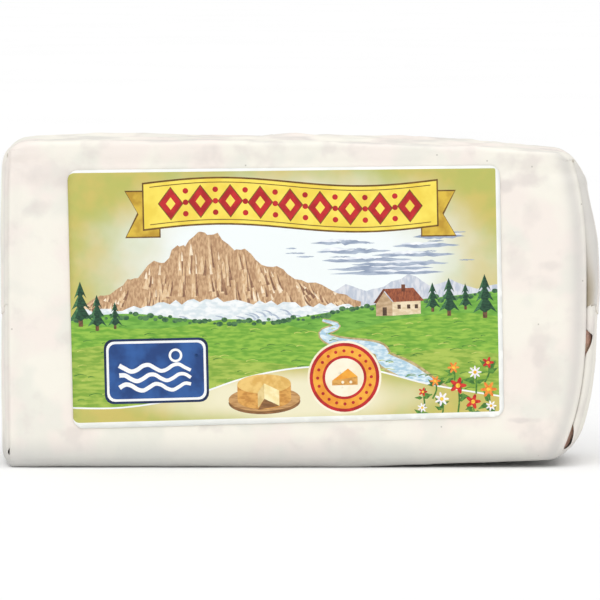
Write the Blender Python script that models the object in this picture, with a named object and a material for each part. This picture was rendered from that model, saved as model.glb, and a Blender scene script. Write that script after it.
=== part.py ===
"""Half a taleggio in its folded paper, with a printed label on the large face.

The block stands on one long narrow side. X runs along its length, Y through its thickness
with the labelled face towards -Y, and Z points up. The origin is under the middle, on the floor.
Run it with blender --background --python part.py, or from Blender's text editor.
"""

import math

import bmesh
import bpy
from mathutils import Matrix, Vector

# Size of the wrapped block, taken at the middle of the paper's thickness
BLOCK_DEPTH = 0.0500
CREST_HEIGHT = 0.1097
CREST_X = -0.0300
CREST_FALL_RIGHT = 0.27
CREST_FALL_LEFT = 0.11
FLOOR_LIFT_START = 0.0200
FLOOR_LIFT_SLOPE = 0.038

# The foot: the underside stands on its four corners and is a hair's breadth hollow between them
FOOT_LEFT = -0.0950
FOOT_RIGHT = FLOOR_LIFT_START
FLOOR_HOLLOW = 0.00015

# Corner radii of the section at each end, as back bottom, front bottom, front top, back top
LEFT, RIGHT = -1, 1
CORNER_RADII = {
    LEFT: (0.0042, 0.0040, 0.0026, 0.0056),
    RIGHT: (0.0075, 0.0034, 0.0024, 0.0070),
}

# How far each end's lip stands from x = 0, at its fullest height and towards top and bottom
LIP_REACH = {LEFT: 0.0965, RIGHT: 0.0975}
LIP_FULL_HEIGHT = 0.0580
LIP_HALF_HEIGHT = 0.0500
LIP_FALL_TOP = {LEFT: 0.0008, RIGHT: 0.0066}
LIP_FALL_BOTTOM = {LEFT: 0.0002, RIGHT: 0.0069}

# The paper sheet and how it lies
PAPER = 0.0007
GAP = 0.0003
LAYER_STEP = 0.00115
FACE_CROWN = 0.0014
EDGE_FALL = 0.0010
EDGE_FALL_WIDTH = 0.0100
LIP_HOLLOW = 0.0004
LIP_HOLLOW_INSET = 0.0045
LIP_HOLLOW_WIDTH = 0.0022
RIDGE_HOLLOW = 0.0005
RIDGE_HOLLOW_DROP = 0.0068
RIDGE_HOLLOW_WIDTH = 0.0022
WAVE = 0.00030
WAVE_LENGTH_X = 0.0570
WAVE_LENGTH_Z = 0.0430

# Shares of the back face, from its top down, where the sheet's two long edges lie
INNER_EDGE = 0.50
OUTER_EDGE = 0.76

# End flaps: where the sheet starts to bend, how far it has turned, its bulge and its free tip
TOP_BEND_START = {LEFT: 0.0862, RIGHT: 0.0860}
TOP_BEND_DROP = {LEFT: 0.0088, RIGHT: 0.0100}
BOTTOM_BEND_START = {LEFT: 0.0950, RIGHT: 0.0845}
BOTTOM_BEND_DROP = {LEFT: 0.0056, RIGHT: 0.0105}
BEND_PULL = {LEFT: 2.1, RIGHT: 1.657}
FLAP_CLEAR = 0.0011
FLAP_BULGE = {LEFT: 0.0019, RIGHT: 0.0037}
FLAP_BULGE_LEAN = {LEFT: 0.0, RIGHT: 0.32}
FLAP_RISE_WIDTH = 0.0080
UPPER_TIP = 0.0505
UPPER_TIP_ARCH = 0.0040
LOWER_TIP = 0.0720
OVERLAP_START = 0.0740
OVERLAP_EASE = 0.0170
SINK_LENGTH = 0.0065

# A flap's shoulders: how far they wrap round under the lips, how square their curve is (1 is an
# ellipse, less is squarer), and where their edges draw back from the lips
FLAP_WRAP = {LEFT: math.radians(75), RIGHT: math.radians(68)}
SHOULDER_POWER = {LEFT: 0.38, RIGHT: 0.90}
UPPER_DRAW_BACK = {LEFT: 0.0, RIGHT: math.radians(26)}
UPPER_DRAW_BACK_START = 0.0800
UPPER_DRAW_BACK_LENGTH = 0.0250
LOWER_HIDDEN_DRAW_BACK = {LEFT: math.radians(45), RIGHT: math.radians(48)}
LOWER_HIDDEN_START = {LEFT: 0.0465, RIGHT: 0.0510}
LOWER_HIDDEN_LENGTH = 0.0060
LOWER_OPENINGS = {
    LEFT: ((0.0040, 0.0040, math.radians(30)),),
    RIGHT: ((0.0424, 0.0046, math.radians(38)), (0.0112, 0.0045, math.radians(40))),
}

# Long soft folds across the narrow top side: middle x, middle y, half length, slant, height
TOP_FOLDS = (
    (-0.062, 0.009, 0.034, 0.02, 0.0014),
    (0.012, -0.009, 0.052, -0.05, 0.0010),
    (0.032, 0.008, 0.048, 0.07, 0.0015),
    (0.072, -0.003, 0.022, -0.14, 0.0009),
)
TOP_FOLD_WIDTH = 0.0034

# The label
LABEL_WIDTH = 0.1446
LABEL_HEIGHT = 0.0857
LABEL_CORNER = 0.0035
LABEL_THICK = 0.0004
LABEL_X = -0.0033
LABEL_Z = 0.0583
LABEL_TURN = math.radians(1.15)
LABEL_TAPER = 0.0145

# The cheese inside, set back from the paper, and how far its ends stand past the lips
CHEESE_INSET = 0.0011
CHEESE_PAST_LIP = {LEFT: -0.0008, RIGHT: 0.0015}
CHEESE_TAPER = {LEFT: 0.0007, RIGHT: 0.0008}
CHEESE_TAPER_POWER = 8
CHEESE_EDGE = 0.0055
CHEESE_EDGE_DROP = 0.0090

# Mesh steps
CELLS_BACK_INNER = 4
CELLS_AROUND = {1: 3, 2: 5, 3: 4, 4: 12, 5: 4, 6: 10, 7: 3}
CELLS_BACK_OUTER = 8
CELLS_ALONG = 28
CELLS_BEND = 4
CELLS_FLAP = 11
CHEESE_CELLS_AROUND = {0: 6, 1: 3, 2: 3, 3: 3, 4: 6, 5: 3, 6: 3, 7: 3}
CHEESE_CELLS_ALONG = 12
CHEESE_CELLS_EDGE = 4
CHEESE_CAP_RINGS = (0.66, 0.33)
LABEL_CELLS_WIDE = 16
LABEL_CELLS_HIGH = 8
LABEL_CELLS_CORNER = 3

SHOULDER_CENTRE_Y = BLOCK_DEPTH / 2 - EDGE_FALL - CHEESE_INSET - CHEESE_EDGE
UNDER_PANEL = BLOCK_DEPTH / 2 - EDGE_FALL - PAPER - 2 * GAP - SHOULDER_CENTRE_Y
BACK = 0
BOTTOM = 2
QUARTER_TURN = math.pi / 2
MIN_TURN = 0.001


def smooth(value):
    """0 below 0, 1 above 1, and an even ease between them."""
    value = min(max(value, 0.0), 1.0)
    return value * value * (3 - 2 * value)


def hump(distance, width):
    """A soft round hump of height 1 that fades over the given width."""
    return math.exp(-((distance / width) ** 2))


def crown(offset, half):
    """1 in the middle and 0 at the rim, for a face that swells between its edges."""
    return max(0.0, 1 - (offset / half) ** 2)


def block_top(x):
    """Height of the narrow top side, highest at the crest and lower towards both ends."""
    fall = CREST_FALL_RIGHT if x > CREST_X else CREST_FALL_LEFT
    return CREST_HEIGHT - fall * (x - CREST_X) ** 2


def along_foot(x):
    """1 in the middle of the foot's length and 0 at both its ends and beyond them."""
    return crown(x - (FOOT_LEFT + FOOT_RIGHT) / 2, (FOOT_RIGHT - FOOT_LEFT) / 2)


def block_floor(x):
    """Height of the underside's two long edges, which lift a little towards the right end."""
    lift = FLOOR_LIFT_SLOPE * max(0.0, x - FLOOR_LIFT_START)
    return PAPER / 2 + lift + FLOOR_HOLLOW * along_foot(x)


def lip_reach(z, end):
    """How far the front and back panels reach at height z before their free edge."""
    offset = (z - LIP_FULL_HEIGHT) / LIP_HALF_HEIGHT
    fall = LIP_FALL_TOP[end] if offset > 0 else LIP_FALL_BOTTOM[end]
    return LIP_REACH[end] - fall * abs(offset) ** 3


def corner_radius(x, corner):
    """A corner's radius at x, changing evenly from one end to the other."""
    share = (x + LIP_REACH[LEFT]) / (LIP_REACH[LEFT] + LIP_REACH[RIGHT])
    return CORNER_RADII[LEFT][corner] * (1 - share) + CORNER_RADII[RIGHT][corner] * share


def corner_point(x, corner, angle):
    """A point on one of the section's four rounded corners, as (y, z)."""
    radius = corner_radius(x, corner)
    side_y = 1 if corner in (0, 3) else -1
    centre_y = side_y * (BLOCK_DEPTH / 2 - radius)
    centre_z = block_floor(x) + radius if corner < 2 else block_top(x) - radius
    return centre_y + radius * math.cos(angle), centre_z + radius * math.sin(angle)


def section_point(x, stretch, share):
    """A point on the block's rounded outline at x, as (y, z, angle of the outward normal).

    The eight stretches run down the back, round each corner and along each side in turn.
    Odd stretches are corners, even ones are straight.
    """
    if stretch % 2:
        corner = stretch // 2
        angle = -QUARTER_TURN * (corner + share)
        y, z = corner_point(x, corner, angle)
        return y, z, angle
    corner = stretch // 2
    angle = -QUARTER_TURN * corner
    start_y, start_z = corner_point(x, (corner - 1) % 4, angle)
    end_y, end_z = corner_point(x, corner, angle)
    return start_y + (end_y - start_y) * share, start_z + (end_z - start_z) * share, angle


def face_swell(x, z):
    """How far the two large faces stand out from the plain outline."""
    end = RIGHT if x > 0 else LEFT
    middle = (block_top(x) + block_floor(x)) / 2
    swell = FACE_CROWN * crown(x, LIP_REACH[end]) * crown(z - middle, middle)
    to_lip = lip_reach(z, end) - abs(x)
    swell -= EDGE_FALL * smooth(1 - to_lip / EDGE_FALL_WIDTH)
    swell -= LIP_HOLLOW * hump(to_lip - LIP_HOLLOW_INSET, LIP_HOLLOW_WIDTH)
    wave_x = math.sin(2 * math.pi * x / WAVE_LENGTH_X + 1.0)
    wave_z = math.cos(2 * math.pi * z / WAVE_LENGTH_Z + 4 * x / WAVE_LENGTH_X)
    return swell + WAVE * wave_x * wave_z * crown(x, LIP_REACH[end])


def front_swell(x, z):
    """The labelled face, with a faint hollow just under its top edge."""
    to_ridge = block_top(x) - z
    return face_swell(x, z) - RIDGE_HOLLOW * hump(to_ridge - RIDGE_HOLLOW_DROP, RIDGE_HOLLOW_WIDTH)


def back_swell(x, z, share, outer):
    """The rear face, where the sheet's outer edge steps over its inner one."""
    step = LAYER_STEP * smooth((share - INNER_EDGE) / 0.10 + 1.2) if outer else 0.0
    return face_swell(x, z) + step


def top_swell(x, y):
    """Long soft folds on the narrow top side."""
    swell = 0.0
    for middle_x, middle_y, half_length, slant, height in TOP_FOLDS:
        along = x - middle_x
        across = y - middle_y - slant * along
        swell += height * hump(across, TOP_FOLD_WIDTH) * crown(along, half_length)
    return swell


def surface_point(x, stretch, share, outer=False, inset=0.0):
    """A point on the wrapped block's swollen surface. Set in, it leaves out the paper's folds."""
    y, z, angle = section_point(x, stretch, share)
    toward_y = math.cos(angle) ** 2
    if math.cos(angle) > 0:
        swell = toward_y * back_swell(x, z, share if stretch == BACK else 0.0, outer)
    else:
        swell = toward_y * front_swell(x, z)
    if stretch == BOTTOM:
        swell -= FLOOR_HOLLOW * (1 - along_foot(x)) * crown(2 * share - 1, 1.0)
    if math.sin(angle) > 0 and not inset:
        swell += math.sin(angle) ** 2 * top_swell(x, y)
    out = swell - inset
    return Vector((x, y + out * math.cos(angle), z + out * math.sin(angle)))


def sheet_edge(x, stretch, share, end):
    """Where a column of the sheet stops: at the lip, or where its flap starts to bend."""
    y, z, angle = section_point(x, stretch, share)
    bend = TOP_BEND_START[end] if math.sin(angle) > 0 else BOTTOM_BEND_START[end]
    turned = abs(math.sin(angle))
    return lip_reach(z, end) * (1 - turned) + bend * turned


def sheet_point(place, along):
    """A point of the sheet round the block: along runs from -1 at the left end to 1 at the right."""
    stretch, share, outer = place
    end = RIGHT if along > 0 else LEFT
    x = along * LIP_REACH[end]
    x += end * (sheet_edge(x, stretch, share, end) - LIP_REACH[end]) * abs(along) ** 3
    return surface_point(x, stretch, share, outer)


def flap_bulge(z, end):
    """How far an end flap stands past the lips in the middle of its width, more lower down."""
    offset = (z - LIP_FULL_HEIGHT) / LIP_HALF_HEIGHT
    return FLAP_BULGE[end] * (1 - FLAP_BULGE_LEAN[end] * offset)


def flap_wrap(z, end, lower):
    """How far round its shoulders a flap reaches at height z, as an angle from the end face."""
    if not lower:
        drawn = smooth((UPPER_DRAW_BACK_START - z) / UPPER_DRAW_BACK_LENGTH)
        return FLAP_WRAP[end] - UPPER_DRAW_BACK[end] * drawn
    hidden = smooth((z - LOWER_HIDDEN_START[end]) / LOWER_HIDDEN_LENGTH)
    wrap = FLAP_WRAP[end] - LOWER_HIDDEN_DRAW_BACK[end] * hidden
    for middle, width, angle in LOWER_OPENINGS[end]:
        wrap -= angle * hump(z - middle, width)
    return wrap


def shoulder_point(base, clear, turn, end):
    """A point on a flap's shoulder, as (reach, y): it rounds off from the end face to the panel."""
    reach = base - CHEESE_EDGE + (CHEESE_EDGE + clear) * math.cos(turn) ** SHOULDER_POWER[end]
    return reach, SHOULDER_CENTRE_Y + UNDER_PANEL * math.sin(turn) ** SHOULDER_POWER[end]


def flap_clear(z, end, lower):
    """How far a flap's own surface lies off the cheese at height z.

    Where the two lap, the upper one rises over the lower one at the right end, and at the left
    end the lower one sinks under the upper one.
    """
    if end == RIGHT:
        over = 0.0 if lower else smooth((OVERLAP_START - z) / OVERLAP_EASE + 1)
    else:
        over = smooth((UPPER_TIP - z) / SINK_LENGTH) if lower else 1.0
    return FLAP_CLEAR + LAYER_STEP * over


def flap_point(x, stretch, share, z, end, lower):
    """A point on the flat part of a flap, in the column that left the sheet at this place.

    The flap lies over the cheese's end, and its shoulders round off towards the lips.
    """
    y, _, angle = section_point(x, stretch, share)
    side = -1 if y < 0 else 1
    clear = flap_clear(z, end, lower)
    base = lip_reach(z, end) + CHEESE_PAST_LIP[end]
    round_corner = math.acos(min(1.0, abs(math.sin(angle))))
    if round_corner > MIN_TURN:
        turn = flap_wrap(z, end, lower) * round_corner / QUARTER_TURN
        reach, across = shoulder_point(base, clear, turn, end)
        return Vector((end * reach, side * across, z))
    corner = {(-1, True): 1, (-1, False): 2, (1, True): 0, (1, False): 3}[side, lower]
    across = y * SHOULDER_CENTRE_Y / (BLOCK_DEPTH / 2 - corner_radius(x, corner))
    rise = flap_bulge(z, end) - CHEESE_PAST_LIP[end] - FLAP_CLEAR
    reach = base + clear + rise * smooth((SHOULDER_CENTRE_Y - abs(across)) / FLAP_RISE_WIDTH)
    return Vector((end * reach, across, z))


def bend_points(start, finish, below, end):
    """Points on the rounded bend between the sheet's end row and the flap's flat part."""
    run, drop = abs(finish.x - start.x), finish.z - start.z
    leave = Vector((end * BEND_PULL[end] * run, 0.0, 0.0))
    arrive = (below - finish).normalized() * BEND_PULL[end] * abs(drop)
    points = []
    for step in range(1, CELLS_BEND + 1):
        s = step / CELLS_BEND
        point = (2 * s**3 - 3 * s**2 + 1) * start + (s**3 - 2 * s**2 + s) * leave
        point += (3 * s**2 - 2 * s**3) * finish + (s**3 - s**2) * arrive
        point.y = start.y + (finish.y - start.y) * (1 - (1 - s) ** 3)
        points.append(point)
    return points


def flap_column(place, start, end, lower):
    """One column of an end flap, from the sheet's end row round the bend to its free tip."""
    stretch, share, _ = place
    if lower:
        bend_z = block_floor(start.x) + BOTTOM_BEND_DROP[end]
        tip_z = LOWER_TIP
    else:
        bend_z = block_top(start.x) - TOP_BEND_DROP[end]
        tip_z = UPPER_TIP + UPPER_TIP_ARCH * (2 * start.y / BLOCK_DEPTH) ** 2
    heights = [bend_z + (tip_z - bend_z) * step / CELLS_FLAP for step in range(CELLS_FLAP + 1)]
    flat = [flap_point(start.x, stretch, share, z, end, lower) for z in heights]
    return bend_points(start, flat[0], flat[1], end) + flat[1:]


def denser_at_ends(share):
    """Even steps from 0 to 1 drawn a little towards both ends."""
    return 0.6 * share + 0.2 * (1 - math.cos(math.pi * share))


def sheet_places():
    """The sheet's columns in order, from its covered inner edge round to its outer one."""
    places = []
    for step in range(CELLS_BACK_INNER):
        share = INNER_EDGE + (1 - INNER_EDGE) * step / CELLS_BACK_INNER
        places.append((BACK, share, False))
    for stretch, cells in CELLS_AROUND.items():
        spread = denser_at_ends if stretch % 2 == 0 else float
        places += [(stretch, spread(step / cells), False) for step in range(cells)]
    for step in range(CELLS_BACK_OUTER + 1):
        places.append((BACK, OUTER_EDGE * step / CELLS_BACK_OUTER, True))
    return places


def flap_columns(places, lower):
    """First and last column of a flap: it spans its narrow side and the corners beside it."""
    stretches = (1, 2, 3) if lower else (5, 6, 7)
    members = [k for k, place in enumerate(places) if place[0] in stretches]
    return members[0], members[-1] + 1


def add_strip(mesh, row, next_row, flip):
    """Join two rows of vertices with quads."""
    for k in range(len(row) - 1):
        corners = [row[k], next_row[k], next_row[k + 1], row[k + 1]]
        mesh.faces.new(corners[::-1] if flip else corners)


def stations():
    """Rows along the block, closer together towards the lips."""
    steps = [2 * i / CELLS_ALONG - 1 for i in range(CELLS_ALONG + 1)]
    return [0.55 * s + 0.45 * math.sin(QUARTER_TURN * s) for s in steps]


def make_material(name, colour, roughness):
    material = bpy.data.materials.new(name)
    material.use_nodes = True
    shader = material.node_tree.nodes["Principled BSDF"]
    shader.inputs["Base Color"].default_value = (*colour, 1.0)
    shader.inputs["Roughness"].default_value = roughness
    shader.inputs["Metallic"].default_value = 0.0
    return material


def make_object(name, mesh, material):
    """Turn a bmesh into a named, smooth-shaded object of the scene."""
    data = bpy.data.meshes.new(name)
    mesh.to_mesh(data)
    mesh.free()
    data.shade_smooth()
    data.set_sharp_from_angle(angle=math.radians(40))
    data.materials.append(material)
    thing = bpy.data.objects.new(name, data)
    bpy.context.scene.collection.objects.link(thing)
    return thing


def thicken(thing, thickness):
    """Give a sheet its thickness, half to each side of the modelled surface."""
    solid = thing.modifiers.new("thickness", "SOLIDIFY")
    solid.thickness = thickness
    solid.offset = 0.0


def add_flap(mesh, places, row, end, lower):
    """One end flap, grown out of the sheet's end row."""
    first, last = flap_columns(places, lower)
    columns = [flap_column(places[k], row[k].co, end, lower) for k in range(first, last + 1)]
    edge = row[first : last + 1]
    for step in range(len(columns[0])):
        next_edge = [mesh.verts.new(column[step]) for column in columns]
        add_strip(mesh, edge, next_edge, flip=end == LEFT)
        edge = next_edge


def make_paper_wrap():
    """The sheet: once round the block with a lapped seam behind, and two flaps at each end."""
    mesh = bmesh.new()
    places = sheet_places()
    rows = [[mesh.verts.new(sheet_point(place, along)) for place in places] for along in stations()]
    for row, next_row in zip(rows, rows[1:]):
        add_strip(mesh, row, next_row, flip=False)
    for row, end in ((rows[0], LEFT), (rows[-1], RIGHT)):
        add_flap(mesh, places, row, end, lower=True)
        add_flap(mesh, places, row, end, lower=False)
    paper = make_object("paper_wrap", mesh, make_material("wrapping_paper", (0.86, 0.83, 0.77), 0.6))
    thicken(paper, PAPER)
    return paper


def cheese_ring(places, along, turn, end):
    """One ring round the cheese; turn goes from 0 on the sides to a quarter turn at the end face."""
    ring = []
    for stretch, share in places:
        x = along * (LIP_REACH[end] + CHEESE_PAST_LIP[end] - CHEESE_EDGE)
        y, z, angle = section_point(x, stretch, share)
        inset = CHEESE_INSET + CHEESE_TAPER[end] * abs(along) ** CHEESE_TAPER_POWER
        point = surface_point(x, stretch, share, inset=inset)
        reach = lip_reach(z, end) - LIP_REACH[end]
        point.x += end * (reach * abs(along) ** 3 + CHEESE_EDGE * math.sin(turn))
        middle = (block_top(x) + block_floor(x)) / 2
        point.y *= 1 - CHEESE_EDGE * (1 - math.cos(turn)) / (BLOCK_DEPTH / 2)
        point.z = middle + (point.z - middle) * (1 - CHEESE_EDGE_DROP * (1 - math.cos(turn)) / middle)
        ring.append(point)
    return ring


def cheese_rings(places):
    """All rings from the left end face to the right one."""
    steps = range(CHEESE_CELLS_EDGE + 1)
    turns = [QUARTER_TURN * step / CHEESE_CELLS_EDGE for step in steps]
    rings = [cheese_ring(places, -1.0, turn, LEFT) for turn in reversed(turns)]
    for step in range(1, CHEESE_CELLS_ALONG):
        along = 2 * step / CHEESE_CELLS_ALONG - 1
        rings.append(cheese_ring(places, along, 0.0, RIGHT if along > 0 else LEFT))
    return rings + [cheese_ring(places, 1.0, turn, RIGHT) for turn in turns]


def end_face_point(centre, rim, scale, end):
    """A point of the cheese's end face, which swells out under the flaps towards its middle."""
    point = centre.lerp(rim, scale)
    swell = (FLAP_BULGE[end] - FLAP_CLEAR - CHEESE_PAST_LIP[end]) * (1 - scale**2)
    point.x = end * (lip_reach(point.z, end) + CHEESE_PAST_LIP[end] + swell)
    return point


def close_end(mesh, ring, end):
    """Fill a ring with smaller rings and a fan at the middle of the end face."""
    centre = sum((vertex.co for vertex in ring), Vector()) / len(ring)
    edge = ring
    for scale in CHEESE_CAP_RINGS:
        next_edge = [mesh.verts.new(end_face_point(centre, vertex.co, scale, end)) for vertex in ring]
        add_strip(mesh, edge + edge[:1], next_edge + next_edge[:1], flip=end == LEFT)
        edge = next_edge
    tip = mesh.verts.new(end_face_point(centre, centre, 0.0, end))
    for vertex, neighbour in zip(edge, edge[1:] + edge[:1]):
        mesh.faces.new((neighbour, vertex, tip) if end == LEFT else (vertex, tip, neighbour))


def make_cheese():
    """The block of cheese with its rind, rounded on every edge."""
    mesh = bmesh.new()
    places = []
    for stretch, cells in CHEESE_CELLS_AROUND.items():
        places += [(stretch, step / cells) for step in range(cells)]
    rings = [[mesh.verts.new(point) for point in ring] for ring in cheese_rings(places)]
    for ring, next_ring in zip(rings, rings[1:]):
        add_strip(mesh, ring + ring[:1], next_ring + next_ring[:1], flip=False)
    close_end(mesh, rings[0], LEFT)
    close_end(mesh, rings[-1], RIGHT)
    bmesh.ops.recalc_face_normals(mesh, faces=mesh.faces)
    return make_object("cheese", mesh, make_material("rind", (0.62, 0.36, 0.22), 0.7))


def label_rows():
    """Heights of the label's rows, with extra ones round its corners, as (height, half width)."""
    straight = LABEL_HEIGHT / 2 - LABEL_CORNER
    half_wide = LABEL_WIDTH / 2
    rows = []
    for step in range(LABEL_CELLS_CORNER):
        angle = QUARTER_TURN * step / LABEL_CELLS_CORNER
        narrowing = LABEL_CORNER * (1 - math.sin(angle))
        rows.append((-straight - LABEL_CORNER * math.cos(angle), half_wide - narrowing))
    for step in range(LABEL_CELLS_HIGH + 1):
        rows.append((straight * (2 * step / LABEL_CELLS_HIGH - 1), half_wide))
    mirrored = [(-height, half) for height, half in reversed(rows[:LABEL_CELLS_CORNER])]
    return rows + mirrored


def label_point(across, up):
    """A point of the label, laid on the front face with its slight turn and a little lower at the right."""
    up *= 1 - LABEL_TAPER * across / (LABEL_WIDTH / 2)
    x = LABEL_X + across * math.cos(LABEL_TURN) - up * math.sin(LABEL_TURN)
    z = LABEL_Z + across * math.sin(LABEL_TURN) + up * math.cos(LABEL_TURN)
    stand_off = PAPER / 2 + GAP + LABEL_THICK / 2
    return Vector((x, -BLOCK_DEPTH / 2 - face_swell(x, z) - stand_off, z))


def make_label():
    """The printed label, one thin rounded rectangle."""
    mesh = bmesh.new()
    rows = []
    for height, half in label_rows():
        shares = [2 * step / LABEL_CELLS_WIDE - 1 for step in range(LABEL_CELLS_WIDE + 1)]
        rows.append([mesh.verts.new(label_point(half * share, height)) for share in shares])
    for row, next_row in zip(rows, rows[1:]):
        add_strip(mesh, row, next_row, flip=True)
    label = make_object("label", mesh, make_material("label_print", (0.72, 0.66, 0.36), 0.4))
    thicken(label, LABEL_THICK)
    return label


def stand_over_origin(things):
    """Move the meshes together so that the whole stands centred over the origin."""
    bpy.context.view_layer.update()
    graph = bpy.context.evaluated_depsgraph_get()
    corners = [Vector(corner) for thing in things for corner in thing.evaluated_get(graph).bound_box]
    middle = [(min(c[i] for c in corners) + max(c[i] for c in corners)) / 2 for i in range(2)]
    for thing in things:
        thing.data.transform(Matrix.Translation((-middle[0], -middle[1], 0.0)))


def main():
    for thing in list(bpy.data.objects):
        bpy.data.objects.remove(thing)
    stand_over_origin([make_cheese(), make_paper_wrap(), make_label()])


main()
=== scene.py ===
"""Looks of a wrapped half taleggio: folded paper, printed label, rind and a pale studio stage.

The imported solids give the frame. The wrapping sheet, the label and the cheese are made again
here with their fine relief and finishes, on the same surfaces that the solids were made from.
Everything is in metres, with X along the block, Y to its rear face and Z up.
"""

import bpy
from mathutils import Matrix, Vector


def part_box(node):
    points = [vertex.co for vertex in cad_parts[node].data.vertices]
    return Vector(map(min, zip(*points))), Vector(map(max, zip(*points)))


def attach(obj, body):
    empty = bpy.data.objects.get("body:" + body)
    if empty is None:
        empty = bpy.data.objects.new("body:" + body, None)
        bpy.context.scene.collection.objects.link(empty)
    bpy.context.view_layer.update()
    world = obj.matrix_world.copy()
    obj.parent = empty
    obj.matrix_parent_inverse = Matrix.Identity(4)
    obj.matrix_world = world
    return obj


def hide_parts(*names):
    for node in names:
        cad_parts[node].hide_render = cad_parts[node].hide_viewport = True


bl_info = {
    "name": "Wrapped Half Taleggio",
    "version": (1, 0, 0),
    "blender": (4, 5, 0),
    "location": "3D Viewport > Sidebar > Wrapped Cheese",
    "description": "Makes a half block of soft cheese in folded paper with a printed label",
    "category": "Object",
}

import math
import random

import bmesh
import bpy
from mathutils import Matrix, Vector, geometry, noise

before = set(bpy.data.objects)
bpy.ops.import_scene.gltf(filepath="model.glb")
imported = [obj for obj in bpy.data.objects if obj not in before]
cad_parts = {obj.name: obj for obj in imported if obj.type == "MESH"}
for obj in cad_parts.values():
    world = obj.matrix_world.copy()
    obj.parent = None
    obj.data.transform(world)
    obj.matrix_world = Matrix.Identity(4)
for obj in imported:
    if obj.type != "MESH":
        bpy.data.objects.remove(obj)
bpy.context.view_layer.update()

LEFT, RIGHT = -1, 1
BACK = 0
BOTTOM = 2
FRONT_TOP = 5
QUARTER_TURN = math.pi / 2
MIN_SHARE = 0.001
MM = 0.001

# The wrapped block's plain form, as the solids have it, at the middle of the solid paper
BLOCK_DEPTH = 0.0500
CREST_HEIGHT = 0.1097
CREST_X = -0.0300
CREST_FALL_RIGHT = 0.27
CREST_FALL_LEFT = 0.11
FLOOR_LIFT_START = 0.0200
FLOOR_LIFT_SLOPE = 0.038
FOOT_LEFT = -0.0950
FOOT_RIGHT = FLOOR_LIFT_START
FLOOR_HOLLOW = 0.00015
CORNER_RADII = {
    LEFT: (0.0042, 0.0040, 0.0026, 0.0056),
    RIGHT: (0.0075, 0.0034, 0.0024, 0.0070),
}
LIP_REACH = {LEFT: 0.0965, RIGHT: 0.0975}
LIP_FULL_HEIGHT = 0.0580
LIP_HALF_HEIGHT = 0.0500
LIP_FALL_TOP = {LEFT: 0.0008, RIGHT: 0.0066}
LIP_FALL_BOTTOM = {LEFT: 0.0002, RIGHT: 0.0069}
SOLID_PAPER = 0.0007
LAYER_STEP = 0.00115
SEAM_STEP = 0.0007
SINK_STEP = 0.00028
FACE_CROWN = 0.0014
EDGE_FALL = 0.0010
EDGE_FALL_WIDTH = 0.0100
LIP_HOLLOW = {LEFT: 0.00035, RIGHT: 0.00090}
LIP_HOLLOW_INSET = {LEFT: 0.0040, RIGHT: 0.0011}
LIP_HOLLOW_WIDTH = 0.0024
RIDGE_HOLLOW = 0.0005
RIDGE_HOLLOW_DROP = 0.0068
RIDGE_HOLLOW_WIDTH = 0.0022
RIDGE_FOLD = 0.00055
WAVE = 0.00030
WAVE_LENGTH_X = 0.0570
WAVE_LENGTH_Z = 0.0430
INNER_EDGE = 0.50
OUTER_EDGE = 0.76
SEAM_EASE = 0.10
SEAM_LEAD = 1.2

# End flaps
TOP_BEND_START = {LEFT: 0.0862, RIGHT: 0.0860}
TOP_BEND_DROP = {LEFT: 0.0088, RIGHT: 0.0100}
BOTTOM_BEND_START = {LEFT: 0.0950, RIGHT: 0.0845}
BOTTOM_BEND_DROP = {LEFT: 0.0056, RIGHT: 0.0105}
BEND_PULL = {LEFT: 2.1, RIGHT: 1.657}
FLAP_CLEAR = 0.0011
FLAP_BULGE = {LEFT: 0.0019, RIGHT: 0.0037}
FLAP_BULGE_LEAN = {LEFT: 0.0, RIGHT: 0.32}
FLAP_RISE_WIDTH = 0.0080
UPPER_TIP = 0.0505
UPPER_TIP_ARCH = 0.0048
LOWER_TIP = 0.0720
OVERLAP_START = 0.0740
OVERLAP_EASE = 0.0170
SINK_LENGTH = 0.0025
TIP_TUCK = 0.0005
TIP_TUCK_LENGTH = 0.0070
LOWER_RISE = 0.0003
LOWER_RISE_LENGTH = 0.0040

# A flap's shoulders: how far they wrap round under the lips, how square their curve is (1 is an
# ellipse, less is squarer), and where their edges draw back from the lips
FLAP_WRAP = {LEFT: math.radians(75), RIGHT: math.radians(68)}
SHOULDER_POWER = {LEFT: 0.38, RIGHT: 0.90}
LOWER_HIDDEN_DRAW_BACK = {LEFT: math.radians(45), RIGHT: math.radians(48)}
LOWER_HIDDEN_START = {LEFT: 0.0530, RIGHT: 0.0525}
LOWER_HIDDEN_LENGTH = 0.0060
LOWER_OPENINGS = {
    LEFT: ((0.0030, 0.0038, 0.0028, math.radians(50)),),
    RIGHT: ((0.0448, 0.0012, 0.0062, math.radians(37)), (0.0100, 0.0042, 0.0040, math.radians(36))),
}

# At the right end the flaps' shoulders stand out beside the lip and curl back in next to it
HOOK_TURN = math.radians(132)
HOOK_START = 0.0820
HOOK_LENGTH = 0.0220
HOOK_STRAIGHT = 0.25
HOOK_STRAIGHT_RISE = 0.0022
HOOK_HIGH = 0.0033
HOOK_UNDER = 0.0003
HOOK_CREST = 0.0010
HOOK_CREST_WIDER = 0.0016
HOOK_CREST_MIDDLE = 0.0570
HOOK_CREST_LENGTH = 0.0130
HOOK_CREST_MOST = 0.6

# How much painted shade the loose paper of the flaps gets, lower ones last, and the panels' just inside
# the lips: a grey tone that stands in for the shade there
FLAP_PAINTED_SHADE = {(LEFT, False): 0.30, (LEFT, True): 0.30, (RIGHT, False): 0.75, (RIGHT, True): 0.30}
FLAP_FACE_SHADE = 0.15
FLAP_SHADE_START = 0.1075
FLAP_SHADE_EASE = 0.0090
SHOULDER_SHADE_EASE = 0.35
LIP_PAINTED_SHADE = {LEFT: 0.10, RIGHT: 0.66}
LIP_SHADE_INSET = 0.0028
LIP_SHADE_WIDTH = 0.0026

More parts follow.
